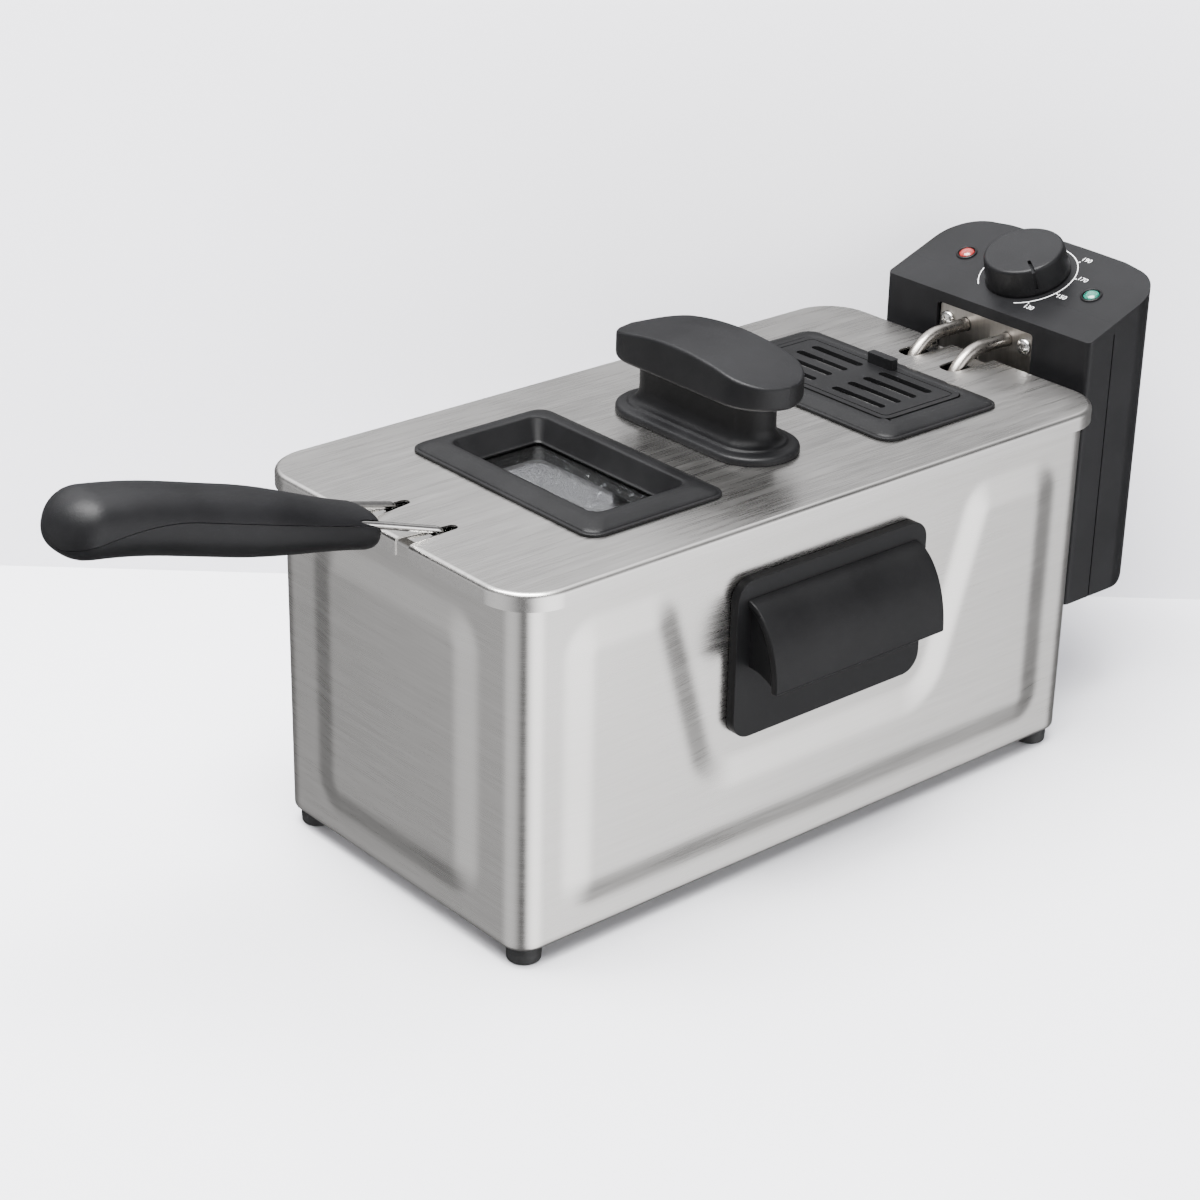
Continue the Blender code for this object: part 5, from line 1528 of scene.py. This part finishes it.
def makeSensor():
    low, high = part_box("sensor_bulb")
    radius = (high.z - low.z) / 2
    length = high.x - low.x
    profile = [(0, length), (radius * 0.5, length - 0.0002), (radius * 0.85, length - 0.0008),
               (radius, length - 0.0020), (radius, 0.0030), (radius * 0.9, 0.0016),
               (radius * 0.55, 0.0004), (0, 0)]
    bulb = turned("probe_bulb", profile, 32)
    place(bulb, (low.x, 0, (low.z + high.z) / 2), math.pi / 2)
    finish(settle(bulb), "control_unit", "brightSteel", ["sensor_bulb"])
    height = (low.z + high.z) / 2
    upright = legX + 0.0075
    corners = [(high.x + gap, 0, height), (upright, 0, height), (upright, 0, height + 0.040),
               (upright, capY, height + 0.070), (upright, capY, capZ), (capHigh.x, capY, capZ)]
    route = filletRoute(corners, [0.008, 0.006, 0.006, 0.007], 10)
    line = wire("probe_capillary", [route], controlLook["capillary"], resolution=3)
    finish(settle(line), "control_unit", "wireSteel", ["sensor_capillary"])


def makeLamps():
    look = controlLook
    for word, material in (("red", "redLens"), ("green", "greenLens")):
        low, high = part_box("lamp_" + word)
        across = (low.y + high.y) / 2
        lens = look["lampLens"] / 2
        bore = lens + gap
        outer = 0.0115 / 2
        bezel = turned("lamp_bezel_" + word,
                       [(bore, 0.0006), (bore + 0.0003, 0.0009), (outer - 0.0008, 0.0009),
                        (outer - 0.0003, 0.0007), (outer, 0.0004), (outer, gap), (bore, gap),
                        (bore, 0.0006)], 48)
        place(bezel, panelPoint(0, across), -panelTilt)
        finish(settle(bezel, 60), "control_unit", "blackPlastic", ["lamp_ring_" + word])
        profile = [(0, 0.0020), (lens * 0.25, 0.00195), (lens * 0.5, 0.0017), (lens * 0.72, 0.0013),
                   (lens * 0.90, 0.0008), (lens, 0.0003), (lens, -0.012), (0, -0.012)]
        cap = turned("lamp_lens_" + word, profile, 48)
        place(cap, panelPoint(0, across), -panelTilt)
        finish(settle(cap, 60), "control_unit", material, ["lamp_" + word])


dialLook = {
    "diameter": 0.045, "height": 0.0155, "taper": 0.0015, "pointer": 235.0, "grooveLength": 0.0125,
    "grooveWidth": 0.0018, "topEdge": 0.0020,
}


def makeDial():
    look = dialLook
    low = look["diameter"] / 2
    high = low - look["taper"]
    bore = controlLook["shaft"] / 2 + gap
    profile = softProfile([(0, look["height"]), (high, look["height"] - 0.0001),
                           (low, 0.0024)], look["topEdge"], 6)
    profile = [p for p in profile if p[1] > 0.003]
    profile += [(low, 0.0024), (low + 0.0001, 0.0022), (low + 0.0001, 0.0006), (low - 0.0002, gap),
                (bore, gap), (bore, look["height"] - 0.004), (0, look["height"] - 0.004)]
    dial = turned("setting_dial", profile, 96)
    place(dial, panelPoint(0, 0), -panelTilt)
    pointing = panelMatrix() @ Matrix.Rotation(math.radians(look["pointer"]), 4, "Z")
    groove = slab("pointer", [roundedRectangle(look["grooveLength"], look["grooveWidth"], 0.0006,
                                               low - 0.0045, 0, 4)],
                  look["height"] - 0.0022, look["height"] + 0.002)
    groove.matrix_world = pointing @ groove.matrix_world
    cut(dial, groove)
    notch = slab("pointer_side", [roundedRectangle(0.004, look["grooveWidth"], 0.0004,
                                                   low + 0.0008, 0, 4)],
                 look["height"] * 0.22, look["height"] + 0.002)
    notch.matrix_world = pointing @ notch.matrix_world
    cut(dial, notch)
    settle(dial, 30)
    finish(dial, "control_knob", "gripBlack", ["dial_knob"])
    repaint("dial_shaft", "brightSteel")


scaleLook = {
    "radius": 0.0262, "marks": (222, 255, 287, 320), "start": 205, "end": 360, "off": (99, 137),
    "numbers": ("130", "150", "170", "190"), "numberRadius": 0.0302, "height": 0.00003,
    "thick": 0.0005, "size": 0.0042,
}


def inkPiece(name, parts):
    # thin flat print that lies on the panel: each part is an outline on the slope
    bm = bmesh.new()
    matrix = panelMatrix(scaleLook["height"])
    for outline in parts:
        loop = [bm.verts.new(matrix @ Vector((u, v, 0))) for u, v in outline]
        bm.faces.new(loop)
    return meshObject(name, bm)


def arcBand(radius, thick, start, end, steps=40):
    outer = arcPoints(0, 0, radius + thick / 2, radius + thick / 2, start, end, steps)
    inner = arcPoints(0, 0, radius - thick / 2, radius - thick / 2, end, start, steps)
    return outer + inner


def makeScale():
    look = scaleLook
    parts = []
    spans = [(look["start"], look["end"]), look["off"]]
    for start, end in spans:
        count = max(2, int((end - start) / 6))
        for i in range(count):
            a0 = start + (end - start) * i / count
            a1 = start + (end - start) * (i + 1) / count
            parts.append(arcBand(look["radius"], look["thick"], a0, a1, 2))
    for angle in look["marks"]:
        away = Vector((math.cos(math.radians(angle)), math.sin(math.radians(angle))))
        across = Vector((-away.y, away.x)) * look["thick"] / 2
        near = away * (look["radius"] - 0.0002)
        far = away * (look["radius"] + 0.0017)
        parts.append([tuple(near - across), tuple(far - across), tuple(far + across),
                      tuple(near + across)])
    finish(inkPiece("dial_scale", parts), "control_unit", "print")
    for angle, word in zip(look["marks"], look["numbers"]):
        text = bpy.data.curves.new("number", "FONT")
        text.body = word
        text.size = look["size"]
        text.align_x = "CENTER"
        text.align_y = "CENTER"
        text.fill_mode = "FRONT"
        item = addObject("scale_number_" + word, text)
        away = (math.cos(math.radians(angle)), math.sin(math.radians(angle)))
        radius = look["numberRadius"] + 0.0010
        item.matrix_world = (panelMatrix(look["height"])
                             @ Matrix.Translation((away[0] * radius, away[1] * radius, 0))
                             @ Matrix.Rotation(math.radians(-90), 4, "Z"))
        bpy.context.view_layer.update()
        evaluated = item.evaluated_get(bpy.context.evaluated_depsgraph_get())
        mesh = bpy.data.meshes.new_from_object(evaluated)
        mesh.transform(item.matrix_world)
        name = item.name
        bpy.data.objects.remove(item)
        finish(addObject(name, mesh), "control_unit", "print")


def makeButton():
    look = controlLook
    radius = look["button"] / 2
    high = buttonHigh.x - (controlRear - 0.0004)
    profile = softProfile([(0, high), (radius, high), (radius, -0.0095), (0, -0.0095)], 0.0007)
    button = turned("reset_push", profile, 40)
    place(button, (controlRear - 0.0004, 0, buttonHeight), math.pi / 2)
    finish(settle(button, 50), "reset_button", "redPlastic", ["reset_button"])


def makeInlet():
    bore = 0.006
    profile = [(0.0032, 0.006), (bore, 0.006), (bore, -gap), (bore + 0.003, -gap),
               (bore + 0.003, -0.0016), (bore + 0.0024, -0.0022)]
    for i in range(4):
        z = -0.0030 - 0.0015 * i
        profile += [(bore + 0.0012 - 0.0003 * i, z), (bore + 0.0012 - 0.0003 * i, z - 0.0008),
                    (bore + 0.0002 - 0.0003 * i, z - 0.0009)]
    profile += [(bore - 0.0008, -0.009), (0.0032, -0.009), (0.0032, 0.006)]
    bush = turned("lead_bush", profile, 40)
    place(bush, (inletX, inletY, controlLow))
    finish(settle(bush, 40), "control_unit", "rubber", ["inlet_bush"])


def paintGear():
    for node, material in (("thermostat", "brightSteel"), ("thermal_cutout", "brightSteel"),
                           ("terminal_block", "brown"), ("interlock_switch", "rubber")):
        repaint(node, material)


makeControlShells()
makeElementPlate()
makeElement()
makeSensor()
makeLamps()
makeDial()
makeScale()
makeButton()
makeInlet()
paintGear()
print("control unit ready")
